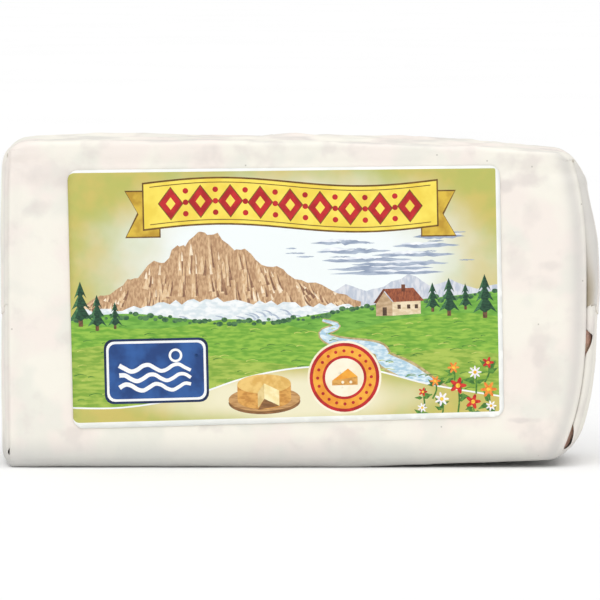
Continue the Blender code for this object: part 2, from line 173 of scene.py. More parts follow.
# Where the curled edge of the upper right flap takes an olive tone: partly a stain from the rind and
# partly painted shade of the crevice by the lip
STAIN_SHADE_FROM, STAIN_SHADE_EASE = 0.50, 0.42
STAIN_SHADE_MIDDLE, STAIN_SHADE_LENGTH = 0.0570, 0.0140

# The paper's fine relief all over, on the top side and at the upper corners
DENT_SIZES = (0.0310, 0.0130, 0.0055)
RIDGE_SIZE = 0.0220
WRINKLE_LENGTH, WRINKLE_WIDTH = 0.0340, 0.0045
PUCKER_FOLDS, PUCKER_RISE, PUCKER_REACH = 7, 0.00028, 0.0060
SHARP_FROM = math.radians(50)

# Small pits where the front top fold runs into the flaps: x, y, z, width and depth
PINCHES = ((0.0930, -0.0240, 0.1033, 0.0009, 0.0009), (-0.0971, -0.0225, 0.1053, 0.0012, 0.0009))

# Soft folds along the narrow top side: middle x, middle y, half length, slant, height
TOP_FOLDS = (
    (-0.062, 0.009, 0.034, 0.02, 0.0014),
    (0.012, -0.009, 0.052, -0.05, 0.0010),
    (0.032, 0.008, 0.048, 0.07, 0.0015),
    (0.072, -0.003, 0.022, -0.14, 0.0009),
    (-0.0010, -0.0100, 0.0120, 0.10, 0.0009),
    (0.0215, -0.0060, 0.0080, -0.18, 0.0008),
    (0.0330, -0.0150, 0.0060, 0.22, 0.0008),
    (0.0470, -0.0150, 0.0130, -0.08, 0.0009),
    (-0.0560, -0.0080, 0.0160, 0.06, 0.0008),
    (0.0700, -0.0140, 0.0150, 0.10, 0.0007),
)
TOP_FOLD_WIDTH = 0.0034

# How far every crease bows aside and reaches past its two ends, as shares of its length, and how
# its ridge is shaped: 2 is round, less is sharper
CREASE_BOW, CREASE_PAST_ENDS, CREASE_SHAPE = 0.06, 0.2, 1.3

# Sharper creases on top, between and across the soft folds
TOP_CREASES = (
    (-0.060, -0.012, -0.010, -0.008, 0.0009, 0.00030),
    (-0.020, -0.003, 0.034, -0.012, 0.0011, 0.00045),
    (0.004, 0.004, 0.058, 0.011, 0.0012, 0.00050),
    (0.018, -0.013, 0.046, -0.006, 0.0008, 0.00040),
    (0.040, -0.014, 0.088, -0.010, 0.0009, 0.00045),
    (0.052, 0.002, 0.090, -0.006, 0.0011, 0.00050),
    (0.064, 0.014, 0.092, 0.006, 0.0010, 0.00040),
    (-0.092, 0.010, -0.062, 0.014, 0.0010, 0.00030),
)

# Creases on the labelled face, as x and z of both ends, width and height
FRONT_CREASES = (
    (0.0700, 0.0150, 0.0815, 0.0182, 0.0011, 0.00034),
    (0.0815, 0.0075, 0.0868, 0.0066, 0.0009, 0.00030),
    (0.0380, 0.0120, 0.0530, 0.0150, 0.0014, 0.00012),
    (0.0828, 0.0683, 0.0888, 0.0690, 0.0008, 0.00014),
    (0.0700, 0.0960, 0.0790, 0.0925, 0.0013, 0.00016),
    (-0.0900, 0.0885, -0.0850, 0.0820, 0.0010, 0.00012),
    (-0.0940, 0.0120, -0.0860, 0.0085, 0.0010, 0.00018),
    (-0.0300, 0.0082, 0.0100, 0.0070, 0.0015, 0.00012),
)

# Creases on the rear face, left by the folding
BACK_CREASES = (
    (-0.0800, 0.0250, -0.0450, 0.0310, 0.0014, 0.00022),
    (-0.0200, 0.0880, 0.0350, 0.0830, 0.0013, 0.00018),
    (0.0500, 0.0300, 0.0900, 0.0180, 0.0012, 0.00026),
    (-0.0900, 0.0960, -0.0600, 0.0860, 0.0012, 0.00022),
    (0.0620, 0.0920, 0.0900, 0.0980, 0.0012, 0.00024),
)

# The label
LABEL_WIDTH = 0.1446
LABEL_HEIGHT = 0.0857
LABEL_CORNER = 0.0035
LABEL_X = -0.0033
LABEL_Z = 0.0583
LABEL_TURN = math.radians(1.15)
LABEL_TAPER = 0.0145
LABEL_FADE = 0.0040
LABEL_RIM = 0.0012
LABEL_PRESS = 0.00012
SMOOTHER_UNDER_LABEL = 0.75

# The cheese inside
CHEESE_INSET = 0.0011
# How far the cheese's end faces stand past the lips, before they swell under the flaps
CHEESE_PAST_LIP = {LEFT: -0.0008, RIGHT: 0.0015}
CHEESE_TAPER = {LEFT: 0.0007, RIGHT: 0.0008}
CHEESE_TAPER_POWER = 8
CHEESE_EDGE = 0.0055
CHEESE_EDGE_DROP = 0.0062
CHEESE_FULLER = {LEFT: 0.0, RIGHT: 0.0008}
CHEESE_FOLLOWS = 0.8
CHEESE_EDGE_POWER = 0.6
RIND_WRINKLE_SIZES = (0.0070, 0.0028)
RIND_PIT_SIZE = 0.0045
SHOULDER_CENTRE_Y = BLOCK_DEPTH / 2 - EDGE_FALL - CHEESE_INSET - CHEESE_EDGE
PANEL_SPACE = 0.0009
UNDER_PANEL = BLOCK_DEPTH / 2 - EDGE_FALL - PANEL_SPACE - SHOULDER_CENTRE_Y

# Mesh steps of the fine pieces
CELLS_BACK_INNER = 14
CELLS_AROUND = {1: 14, 2: 24, 3: 14, 4: 78, 5: 14, 6: 40, 7: 14}
CELLS_BACK_OUTER = 34
CELLS_ALONG = 116
CELLS_BEND = 10
CELLS_FLAP = 56
CHEESE_CELLS_AROUND = {0: 40, 1: 5, 2: 20, 3: 5, 4: 40, 5: 5, 6: 20, 7: 5}
CHEESE_CELLS_ALONG = 76
CHEESE_CELLS_EDGE = 7
CHEESE_CAP_RINGS = 12
LABEL_GRID = 2.0


def middle_of(node):
    """The middle of a CAD node's box."""
    low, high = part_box(node)
    return (Vector(low) + Vector(high)) / 2


SHIFT = Vector((middle_of("label").x - LABEL_X, middle_of("cheese").y, 0.0))


def smooth(value):
    """0 below 0, 1 above 1, and an even ease between them."""
    value = min(max(value, 0.0), 1.0)
    return value * value * (3 - 2 * value)


def hump(distance, width):
    """A soft round hump of height 1 that fades over the given width."""
    return math.exp(-((distance / width) ** 2))


def crown(offset, half):
    """1 in the middle and 0 at the rim, for a face that swells between its edges."""
    return max(0.0, 1 - (offset / half) ** 2)


def block_top(x):
    """Height of the narrow top side, highest at the crest and lower towards both ends."""
    fall = CREST_FALL_RIGHT if x > CREST_X else CREST_FALL_LEFT
    return CREST_HEIGHT - fall * (x - CREST_X) ** 2


def along_foot(x):
    """1 in the middle of the foot's length and 0 at both its ends and beyond them."""
    return crown(x - (FOOT_LEFT + FOOT_RIGHT) / 2, (FOOT_RIGHT - FOOT_LEFT) / 2)


def block_floor(x):
    """Height of the underside's two long edges, which lift a little towards the right end."""
    lift = FLOOR_LIFT_SLOPE * max(0.0, x - FLOOR_LIFT_START)
    return SOLID_PAPER / 2 + lift + FLOOR_HOLLOW * along_foot(x)


def lip_reach(z, end):
    """How far the front and back panels reach at height z before their free edge."""
    offset = (z - LIP_FULL_HEIGHT) / LIP_HALF_HEIGHT
    fall = LIP_FALL_TOP[end] if offset > 0 else LIP_FALL_BOTTOM[end]
    return LIP_REACH[end] - fall * abs(offset) ** 3


def corner_radius(x, corner):
    """A corner's radius at x, changing evenly from one end to the other."""
    share = (x + LIP_REACH[LEFT]) / (LIP_REACH[LEFT] + LIP_REACH[RIGHT])
    return CORNER_RADII[LEFT][corner] * (1 - share) + CORNER_RADII[RIGHT][corner] * share


def corner_point(x, corner, angle):
    """A point on one of the section's four rounded corners, as (y, z)."""
    radius = corner_radius(x, corner)
    side_y = 1 if corner in (0, 3) else -1
    centre_y = side_y * (BLOCK_DEPTH / 2 - radius)
    centre_z = block_floor(x) + radius if corner < 2 else block_top(x) - radius
    return centre_y + radius * math.cos(angle), centre_z + radius * math.sin(angle)


def section_point(x, stretch, share):
    """A point on the block's rounded outline at x, as (y, z, angle of the outward normal).

    The eight stretches run down the back, round each corner and along each side in turn.
    Odd stretches are corners, even ones are straight.
    """
    corner = stretch // 2
    if stretch % 2:
        angle = -QUARTER_TURN * (corner + share)
        y, z = corner_point(x, corner, angle)
        return y, z, angle
    angle = -QUARTER_TURN * corner
    start_y, start_z = corner_point(x, (corner - 1) % 4, angle)
    end_y, end_z = corner_point(x, corner, angle)
    return start_y + (end_y - start_y) * share, start_z + (end_z - start_z) * share, angle


def round_share(angle):
    """0 on the flat part of the section and 1 where a corner meets the large faces."""
    return math.acos(min(1.0, abs(math.sin(angle)))) / QUARTER_TURN


def label_cover(x, z, fade):
    """1 under the label and 0 clear of it, fading just outside its edge."""
    turned = Matrix.Rotation(-LABEL_TURN, 2) @ Vector((x - LABEL_X, z - LABEL_Z))
    beyond = max(abs(turned.x) - LABEL_WIDTH / 2, abs(turned.y) - LABEL_HEIGHT / 2)
    return smooth(1 - beyond / fade)


def face_swell(x, z):
    """How far the two large faces stand out from the plain outline."""
    end = RIGHT if x > 0 else LEFT
    middle = (block_top(x) + block_floor(x)) / 2
    swell = FACE_CROWN * crown(x, LIP_REACH[end]) * crown(z - middle, middle)
    to_lip = lip_reach(z, end) - abs(x)
    swell -= EDGE_FALL * smooth(1 - to_lip / EDGE_FALL_WIDTH)
    swell -= LIP_HOLLOW[end] * hump(to_lip - LIP_HOLLOW_INSET[end], LIP_HOLLOW_WIDTH)
    wave_x = math.sin(2 * math.pi * x / WAVE_LENGTH_X + 1.0)
    wave_z = math.cos(2 * math.pi * z / WAVE_LENGTH_Z + 4 * x / WAVE_LENGTH_X)
    return swell + WAVE * wave_x * wave_z * crown(x, LIP_REACH[end])


def front_swell(x, z):
    """The labelled face, with a faint hollow just under its top edge."""
    to_ridge = block_top(x) - z
    hollow = RIDGE_HOLLOW * hump(to_ridge - RIDGE_HOLLOW_DROP, RIDGE_HOLLOW_WIDTH)
    return face_swell(x, z) - hollow * (1 - label_cover(x, z, LABEL_RIM))


def back_swell(x, z, share, outer):
    """The rear face, where the sheet's outer edge steps over its inner one."""
    step = SEAM_STEP * smooth((share - INNER_EDGE) / SEAM_EASE + SEAM_LEAD) if outer else 0.0
    return face_swell(x, z) + step


def top_swell(x, y):
    """Long soft folds on the narrow top side."""
    swell = 0.0
    for middle_x, middle_y, half_length, slant, height in TOP_FOLDS:
        along = x - middle_x
        across = y - middle_y - slant * along
        swell += height * hump(across, TOP_FOLD_WIDTH) * crown(along, half_length)
    return swell


def surface_point(x, stretch, share, outer=False, inset=0.0):
    """A point on the wrapped block's swollen surface. Set in, it leaves out the paper's folds."""
    y, z, angle = section_point(x, stretch, share)
    toward_y = math.cos(angle) ** 2
    if math.cos(angle) > 0:
        swell = toward_y * back_swell(x, z, share if stretch == BACK else 0.0, outer)
    else:
        swell = toward_y * front_swell(x, z)
    if stretch == BOTTOM:
        swell -= FLOOR_HOLLOW * (1 - along_foot(x)) * crown(2 * share - 1, 1.0)
    if math.sin(angle) > 0 and not inset:
        swell += math.sin(angle) ** 2 * top_swell(x, y)
    if stretch == FRONT_TOP and not inset:
        swell += RIDGE_FOLD * math.sin(math.pi * share) ** 2
    out = swell - inset
    return Vector((x, y + out * math.cos(angle), z + out * math.sin(angle)))


def sheet_edge(x, stretch, share, end):
    """Where a column of the sheet stops: at the lip, or where its flap starts to bend."""
    y, z, angle = section_point(x, stretch, share)
    bend = TOP_BEND_START[end] if math.sin(angle) > 0 else BOTTOM_BEND_START[end]
    turned = abs(math.sin(angle))
    return lip_reach(z, end) * (1 - turned) + bend * turned


def sheet_point(place, along):
    """A point of the sheet round the block: along runs from -1 at the left end to 1 at the right."""
    stretch, share, outer = place
    end = RIGHT if along > 0 else LEFT
    x = along * LIP_REACH[end]
    x += end * (sheet_edge(x, stretch, share, end) - LIP_REACH[end]) * abs(along) ** 3
    return surface_point(x, stretch, share, outer)


def flap_bulge(z, end):
    """How far an end flap stands past the lips in the middle of its width, more lower down."""
    offset = (z - LIP_FULL_HEIGHT) / LIP_HALF_HEIGHT
    return FLAP_BULGE[end] * (1 - FLAP_BULGE_LEAN[end] * offset)


def flap_wrap(z, end, lower):
    """How far round its shoulders a flap reaches at height z, as an angle from the end face."""
    if not lower:
        return FLAP_WRAP[end]
    hidden = smooth((z - LOWER_HIDDEN_START[end]) / LOWER_HIDDEN_LENGTH)
    wrap = FLAP_WRAP[end] - LOWER_HIDDEN_DRAW_BACK[end] * hidden
    for middle, above, below, angle in LOWER_OPENINGS[end]:
        wrap -= angle * hump(z - middle, above if z > middle else below)
    return wrap


def shoulder_point(base, clear, turn, end):
    """A point on a flap's shoulder, as (reach, y): it rounds off from the end face to the panel."""
    reach = base - CHEESE_EDGE + (CHEESE_EDGE + clear) * math.cos(turn) ** SHOULDER_POWER[end]
    return Vector((reach, SHOULDER_CENTRE_Y + UNDER_PANEL * math.sin(turn) ** SHOULDER_POWER[end]))


def hooked_point(past_lip, share, most, z):
    """A point on a shoulder that stands out beside the lip and curls in, as (past the lip, y)."""
    if share < HOOK_STRAIGHT:
        return Vector((past_lip, SHOULDER_CENTRE_Y + HOOK_STRAIGHT_RISE * share / HOOK_STRAIGHT))
    turn = most * (share - HOOK_STRAIGHT) / (1 - HOOK_STRAIGHT)
    crest = HOOK_CREST + HOOK_CREST_WIDER * hump(z - HOOK_CREST_MIDDLE, HOOK_CREST_LENGTH)
    crest = min(crest, HOOK_CREST_MOST * past_lip)
    inward = (crest + HOOK_UNDER) / -math.cos(HOOK_TURN)
    half = past_lip - crest if turn < QUARTER_TURN else inward
    across = SHOULDER_CENTRE_Y + HOOK_STRAIGHT_RISE + HOOK_HIGH * math.sin(turn)
    return Vector((crest + half * math.cos(turn), across))


def upper_tip(y):
    """Height of the upper flap's free edge, which arches up towards the lips."""
    return UPPER_TIP + UPPER_TIP_ARCH * (2 * y / BLOCK_DEPTH) ** 4


def flap_clear(y, z, end, lower):
    """How far a flap's own surface lies off the cheese.

    Where the two lap, the upper one rises over the lower one at the right end, and at the left
    end the lower one sinks under the upper one.
    """
    if end == RIGHT and lower:
        return FLAP_CLEAR + LOWER_RISE * smooth((z - upper_tip(y)) / LOWER_RISE_LENGTH + 1)
    if end == RIGHT:
        tucked = TIP_TUCK * smooth(1 - (z - upper_tip(y)) / TIP_TUCK_LENGTH)
        return FLAP_CLEAR + LAYER_STEP * smooth((OVERLAP_START - z) / OVERLAP_EASE + 1) - tucked
    sunk = 1 - smooth((upper_tip(y) - z) / SINK_LENGTH) if lower else 0.0
    return FLAP_CLEAR + LAYER_STEP - SINK_STEP * sunk


def flap_point(x, stretch, share, z, end, lower):
    """A point on the flat part of a flap, in the column that left the sheet at this place.

    The flap lies over the cheese's end, and its shoulders round off towards the lips.
    """
    y, _, angle = section_point(x, stretch, share)
    side = -1 if y < 0 else 1
    clear = flap_clear(y, z, end, lower)
    base = lip_reach(z, end) + CHEESE_PAST_LIP[end]
    share = round_share(angle)
    if share > MIN_SHARE:
        wrap = flap_wrap(z, end, lower)
        spot = shoulder_point(base, clear, wrap * share, end)
        if end == RIGHT:
            most = HOOK_TURN * wrap / FLAP_WRAP[end]
            hooked = hooked_point(base + clear - lip_reach(z, end), share, most, z)
            hooked.x += lip_reach(z, end)
            spot = spot.lerp(hooked, smooth((HOOK_START - z) / HOOK_LENGTH))
        return Vector((end * spot.x, side * spot.y, z))
    corner = {(-1, True): 1, (-1, False): 2, (1, True): 0, (1, False): 3}[side, lower]
    across = y * SHOULDER_CENTRE_Y / (BLOCK_DEPTH / 2 - corner_radius(x, corner))
    rise = flap_bulge(z, end) - CHEESE_PAST_LIP[end] - FLAP_CLEAR
    reach = base + clear + rise * smooth((SHOULDER_CENTRE_Y - abs(across)) / FLAP_RISE_WIDTH)
    return Vector((end * reach, across, z))


def bend_points(start, finish, below, end):
    """Points on the rounded bend between the sheet's end row and the flap's flat part."""
    run, drop = abs(finish.x - start.x), finish.z - start.z
    leave = Vector((end * BEND_PULL[end] * run, 0.0, 0.0))
    arrive = (below - finish).normalized() * BEND_PULL[end] * abs(drop)
    points = []
    for step in range(1, CELLS_BEND + 1):
        s = step / CELLS_BEND
        point = (2 * s**3 - 3 * s**2 + 1) * start + (s**3 - 2 * s**2 + s) * leave
        point += (3 * s**2 - 2 * s**3) * finish + (s**3 - s**2) * arrive
        point.y = start.y + (finish.y - start.y) * (1 - (1 - s) ** 3)
        points.append(point)
    return points


def flap_column(place, start, end, lower):
    """One column of an end flap, from the sheet's end row round the bend to its free tip."""
    stretch, share, _ = place
    if lower:
        bend_z = block_floor(start.x) + BOTTOM_BEND_DROP[end]
        tip_z = LOWER_TIP
    else:
        bend_z = block_top(start.x) - TOP_BEND_DROP[end]
        tip_z = upper_tip(start.y)
    heights = [bend_z + (tip_z - bend_z) * step / CELLS_FLAP for step in range(CELLS_FLAP + 1)]
    flat = [flap_point(start.x, stretch, share, z, end, lower) for z in heights]
    return bend_points(start, flat[0], flat[1], end) + flat[1:]


def denser_at_ends(share):
    """Even steps from 0 to 1 drawn a little towards both ends."""
    return 0.6 * share + 0.2 * (1 - math.cos(math.pi * share))


def sheet_places():
    """The sheet's columns in order, from its covered inner edge round to its outer one."""
    places = []
    for step in range(CELLS_BACK_INNER):
        places.append((BACK, INNER_EDGE + (1 - INNER_EDGE) * step / CELLS_BACK_INNER, False))
    for stretch, cells in CELLS_AROUND.items():
        spread = denser_at_ends if stretch % 2 == 0 else float
        places += [(stretch, spread(step / cells), False) for step in range(cells)]
    for step in range(CELLS_BACK_OUTER + 1):
        places.append((BACK, OUTER_EDGE * step / CELLS_BACK_OUTER, True))
    return places


def flap_columns(places, lower):
    """First and last column of a flap: it spans its narrow side and the corners beside it."""
    stretches = (1, 2, 3) if lower else (5, 6, 7)
    members = [k for k, place in enumerate(places) if place[0] in stretches]
    return members[0], members[-1] + 1


def stations():
    """Rows along the block, closer together towards the lips."""
    steps = [2 * i / CELLS_ALONG - 1 for i in range(CELLS_ALONG + 1)]
    return [0.55 * s + 0.45 * math.sin(QUARTER_TURN * s) for s in steps]


def crease_height(u, v, creases):
    """Height of the creases of a face at (u, v): sharp along their line, fading at both ends."""
    height = 0.0
    for start_u, start_v, end_u, end_v, width, rise in creases:
        run = Vector((end_u - start_u, end_v - start_v))
        offset = Vector((u - start_u, v - start_v))
        along = offset.dot(run) / run.length_squared
        if -CREASE_PAST_ENDS < along < 1 + CREASE_PAST_ENDS:
            bow = CREASE_BOW * run.length * math.sin(math.pi * along)
            across = abs(offset.cross(run) / run.length - bow)
            ridge = math.exp(-((across / width) ** CREASE_SHAPE))
            height += rise * ridge * crown(2 * along - 1, 1 + 2 * CREASE_PAST_ENDS)
    return height


def crumple(point, height):
    """The paper's uneven lie, in soft dents of three sizes and a few faint ridges."""
    soft = noise.noise(point / DENT_SIZES[0]) + 0.45 * noise.noise(point / DENT_SIZES[1])
    ridge = 1 - abs(noise.noise(point / RIDGE_SIZE + Vector((7.0, 3.0, 5.0))))
    return height * (soft + 0.9 * ridge**6 + 0.16 * noise.noise(point / DENT_SIZES[2]))


def front_relief(x, z, height):
    """Fine relief of the labelled face. Under the label the paper lies smoother."""
    relief = crumple(Vector((x, -BLOCK_DEPTH / 2, z)), height) + crease_height(x, z, FRONT_CREASES)
    return (1 - SMOOTHER_UNDER_LABEL * label_cover(x, z, LABEL_FADE)) * relief


def top_relief(point, height):
    """Long drawn wrinkles and sharper creases of the narrow top side."""
    drawn = Vector((point.x / WRINKLE_LENGTH, point.y / WRINKLE_WIDTH, 0.0))
    wrinkle = 1 - abs(noise.noise(drawn + Vector((2.0, 9.0, 0.0))))
    return height * (1.6 * wrinkle**5 - 0.5) + crease_height(point.x, point.y, TOP_CREASES)


def corner_puckers(point):
    """Small folds that fan out where the panels turn round the block's four upper corners."""
    relief = 0.0
    for end in (LEFT, RIGHT):
        for side in (-1, 1):
            z = block_top(end * TOP_BEND_START[end]) - PUCKER_REACH
            offset = point - Vector((end * LIP_REACH[end], side * BLOCK_DEPTH / 2, z))
            fan = math.atan2(offset.z, end * offset.x + side * offset.y)
            height = PUCKER_RISE * math.cos(PUCKER_FOLDS * fan)
            relief += height * hump(offset.length - PUCKER_REACH, PUCKER_REACH)
    return relief


def pinched(point):
    """Depth of the small pits in which the front top fold ends."""
    return sum(deep * hump((point - Vector((x, y, z))).length, wide) for x, y, z, wide, deep in PINCHES)


def paper_relief(point, normal, paper):
    """How far the sheet stands off the plain folded form at a point with this normal."""
    front = max(0.0, -normal.y) ** 2
    back = max(0.0, normal.y) ** 2
    top = max(0.0, normal.z) ** 2
    relief = front * front_relief(point.x, point.z, paper.crumple_height)
    relief -= front * LABEL_PRESS * label_cover(point.x, point.z, LABEL_RIM)
    relief += (1 - front) * crumple(point, paper.crumple_height)
    relief += top * top_relief(point, paper.wrinkle_height)
    relief += back * crease_height(point.x, point.z, BACK_CREASES)
    return relief + corner_puckers(point) - pinched(point)


def painted_shade_by_lip(point):
    """How much painted shade the panels' paper gets: most in a band just inside their free edges, where
    they roll off.
    """
    end = RIGHT if point.x > 0 else LEFT
    return LIP_PAINTED_SHADE[end] * hump(lip_reach(point.z, end) - abs(point.x) - LIP_SHADE_INSET, LIP_SHADE_WIDTH)


def add_strip(mesh, row, next_row, flip):
    """Join two rows of vertices with quads."""
    for k in range(len(row) - 1):
        corners = [row[k], next_row[k], next_row[k + 1], row[k + 1]]
        mesh.faces.new(corners[::-1] if flip else corners)


def stained_and_shaded(share, z, end):
    """How much olive tone a place of an upper flap gets, as rind stain and painted shade: most where it
    curls in by the lip.
    """
    if end == LEFT:
        return 0.0
    return smooth((share - STAIN_SHADE_FROM) / STAIN_SHADE_EASE) * hump(z - STAIN_SHADE_MIDDLE, STAIN_SHADE_LENGTH)


def flap_painted_shade(share, z, end, lower):
    """How much painted shade a place of a flap gets: most on its shoulders, and not yet on its bend."""
    below = smooth((FLAP_SHADE_START - z) / FLAP_SHADE_EASE)
    on_shoulder = smooth(share / SHOULDER_SHADE_EASE)
    return FLAP_PAINTED_SHADE[end, lower] * below * (FLAP_FACE_SHADE + (1 - FLAP_FACE_SHADE) * on_shoulder)


def add_flap(mesh, places, row, end, lower):
    """One end flap, grown out of the sheet's end row."""
    stain_shade_layer, shade_layer = (mesh.verts.layers.float[name] for name in ("stained_and_shaded", "painted_shade"))
    first, last = flap_columns(places, lower)
    places, edge = places[first : last + 1], row[first : last + 1]
    columns = [flap_column(place, start.co, end, lower) for place, start in zip(places, edge)]
    shares = [round_share(section_point(edge[0].co.x, *place[:2])[2]) for place in places]
    for step in range(len(columns[0])):
        next_edge = [mesh.verts.new(column[step]) for column in columns]
        # Each new vertex gets its olive tone of rind stain and painted shade, and its grey painted shade
        for vertex, share in zip(next_edge, shares):
            vertex[stain_shade_layer] = 0.0 if lower else stained_and_shaded(share, vertex.co.z, end)
            vertex[shade_layer] = flap_painted_shade(share, vertex.co.z, end, lower)
        add_strip(mesh, edge, next_edge, flip=end == LEFT)
        edge = next_edge


def push_out(mesh, relief):
    """Move every vertex along its normal by its relief."""
    mesh.normal_update()
    moves = [vertex.normal * relief(vertex.co, vertex.normal) for vertex in mesh.verts]
    for vertex, move in zip(mesh.verts, moves):
        vertex.co += move


def placed(name, data):
    """An object in the scene."""
    thing = bpy.data.objects.new(name, data)
    bpy.context.scene.collection.objects.link(thing)
    return thing


def make_piece(name, mesh, materials):
    """Turn a bmesh into a smooth piece of the scene, in the frame's own place."""
    data = bpy.data.meshes.new(name)
    bmesh.ops.translate(mesh, verts=mesh.verts, vec=SHIFT)
    mesh.to_mesh(data)
    mesh.free()
    data.shade_smooth()
    data.set_sharp_from_angle(angle=SHARP_FROM)
    for material in materials:
        data.materials.append(material)
    return placed(name, data)


def thicken(thing, thickness, offset):
    """Give a sheet its real thickness."""
    solid = thing.modifiers.new("thickness", "SOLIDIFY")
    solid.thickness = thickness
    solid.offset = offset


def wrapping_mesh(paper):
    """The whole sheet: round the block with its lapped seam, and two flaps at each end."""
    mesh = bmesh.new()
    mesh.verts.layers.float.new("stained_and_shaded")
    painted_shade = mesh.verts.layers.float.new("painted_shade")
    places = sheet_places()
    rows = [[mesh.verts.new(sheet_point(place, along)) for place in places] for along in stations()]
    for row, next_row in zip(rows, rows[1:]):
        add_strip(mesh, row, next_row, flip=False)
    # Painted shade in a band just inside the lips
    for vertex in mesh.verts:
        vertex[painted_shade] = painted_shade_by_lip(vertex.co)
    for row, end in ((rows[0], LEFT), (rows[-1], RIGHT)):
        for lower in (True, False):
            add_flap(mesh, places, row, end, lower)
    push_out(mesh, lambda point, normal: paper_relief(point, normal, paper))
    for vertex in mesh.verts:
        vertex.co.z = max(vertex.co.z, SOLID_PAPER / 2)
    return mesh


def cheese_ring(places, along, turn, end):
    """One ring round the cheese; turn goes from 0 on the sides to a quarter turn at the end face."""
    ring = []
    for stretch, share in places:
        x = along * (LIP_REACH[end] + CHEESE_PAST_LIP[end] - CHEESE_EDGE)
        _, z, _ = section_point(x, stretch, share)
        inset = CHEESE_INSET + CHEESE_TAPER[end] * abs(along) ** CHEESE_TAPER_POWER
        point = surface_point(x, stretch, share, inset=inset)
        middle = (block_top(x) + block_floor(x)) / 2
        fall = 1 - max(0.0, math.cos(turn)) ** CHEESE_EDGE_POWER
        point.y *= 1 - CHEESE_EDGE * fall / (BLOCK_DEPTH / 2)
        point.z = middle + (point.z - middle) * (1 - CHEESE_EDGE_DROP * fall / middle)
        follows = CHEESE_FOLLOWS if z < middle else 0.0
        reach = lip_reach(z + follows * (point.z - z), end) - LIP_REACH[end]
        edge = CHEESE_EDGE + CHEESE_FULLER[end]
        point.x += end * (reach * abs(along) ** 3 + edge * math.sin(turn) ** CHEESE_EDGE_POWER)
        ring.append(point)
    return ring


def cheese_rings(places):
    """All rings from the left end face to the right one."""
    turns = [QUARTER_TURN * step / CHEESE_CELLS_EDGE for step in range(CHEESE_CELLS_EDGE + 1)]
    rings = [cheese_ring(places, -1.0, turn, LEFT) for turn in reversed(turns)]
    for step in range(1, CHEESE_CELLS_ALONG):
        along = 2 * step / CHEESE_CELLS_ALONG - 1
        rings.append(cheese_ring(places, along, 0.0, RIGHT if along > 0 else LEFT))
    return rings + [cheese_ring(places, 1.0, turn, RIGHT) for turn in turns]


def end_face_point(centre, rim, scale, end):
    """A point of the cheese's end face, which swells out under the flaps towards its middle."""
    point = centre.lerp(rim, scale)
    swell = (FLAP_BULGE[end] - FLAP_CLEAR - CHEESE_PAST_LIP[end]) * (1 - scale**2)
    point.x = end * (lip_reach(point.z, end) + CHEESE_PAST_LIP[end] + CHEESE_FULLER[end] + swell)
    return point


def close_end(mesh, ring, end):
    """Fill a ring with smaller rings and a fan at the middle of the end face."""
    centre = sum((vertex.co for vertex in ring), Vector()) / len(ring)
    edge = ring
    for step in range(1, CHEESE_CAP_RINGS):
        scale = 1 - step / CHEESE_CAP_RINGS
        next_edge = [mesh.verts.new(end_face_point(centre, vertex.co, scale, end)) for vertex in ring]
        add_strip(mesh, edge + edge[:1], next_edge + next_edge[:1], flip=end == LEFT)
        edge = next_edge
    tip = mesh.verts.new(end_face_point(centre, centre, 0.0, end))
    for vertex, neighbour in zip(edge, edge[1:] + edge[:1]):
        mesh.faces.new((neighbour, vertex, tip) if end == LEFT else (vertex, tip, neighbour))


def rind_relief(point, depth):
    """Wrinkles, pits and cloth marks of the washed rind. It only goes inwards."""
    wrinkles = [abs(noise.noise(point / size)) for size in RIND_WRINKLE_SIZES]
    pits = max(0.0, noise.noise(point / RIND_PIT_SIZE + Vector((4.0, 1.0, 8.0))) - 0.25)
    return -depth * (wrinkles[0] + 0.5 * wrinkles[1] + 2.2 * pits)


def cheese_mesh(rind):
    """The block of cheese inside its paper, rounded on every edge, with the rind's relief."""
    mesh = bmesh.new()
    places = []
    for stretch, cells in CHEESE_CELLS_AROUND.items():
        places += [(stretch, step / cells) for step in range(cells)]
    rings = [[mesh.verts.new(point) for point in ring] for ring in cheese_rings(places)]
    for ring, next_ring in zip(rings, rings[1:]):
        add_strip(mesh, ring + ring[:1], next_ring + next_ring[:1], flip=False)
    close_end(mesh, rings[0], LEFT)
    close_end(mesh, rings[-1], RIGHT)
    bmesh.ops.recalc_face_normals(mesh, faces=mesh.faces)
    push_out(mesh, lambda point, _: rind_relief(point, rind.pit_depth))
    return mesh


# The print, laid out in millimetres from the middle of the label


def smooth_line(points, steps=6):
    """An open line that runs smoothly through the points."""
    padded = [points[0]] + list(points) + [points[-1]]
    line = []
    for i in range(len(points) - 1):
        a, b, c, d = (Vector(p) for p in padded[i : i + 4])
        for step in range(steps):
            t = step / steps
            bend = (2 * a - 5 * b + 4 * c - d) * t * t + (3 * b - a - 3 * c + d) * t**3
            line.append(0.5 * (2 * b + (c - a) * t + bend))
    return line + [Vector(points[-1])]


def craggy_line(points, pieces, throw, dice):
    """A broken line through the points, with small random steps as on a rock edge."""
    line = []
    for a, b in zip(points, points[1:]):
        line.append(Vector(a))
        for step in range(1, pieces):
            off = Vector((dice.uniform(-throw, throw), dice.uniform(-throw, throw)))
            line.append(Vector(a).lerp(Vector(b), step / pieces) + off)
    return line + [Vector(points[-1])]


def corners(*points):
    """A plain field with straight sides."""
    return [Vector(point) for point in points]


def square(left, bottom, right, top):
    """A rectangle with plain corners."""
    return corners((left, bottom), (right, bottom), (right, top), (left, top))


def down_to(line, low):
    """A field from a line down to a level."""
    return line + corners((line[-1].x, low), (line[0].x, low))


def round_point(u, v, reach, turn, squash=1.0):
    """A point on a circle or a flattened one."""
    return Vector((u + reach * math.cos(turn), v + squash * reach * math.sin(turn)))


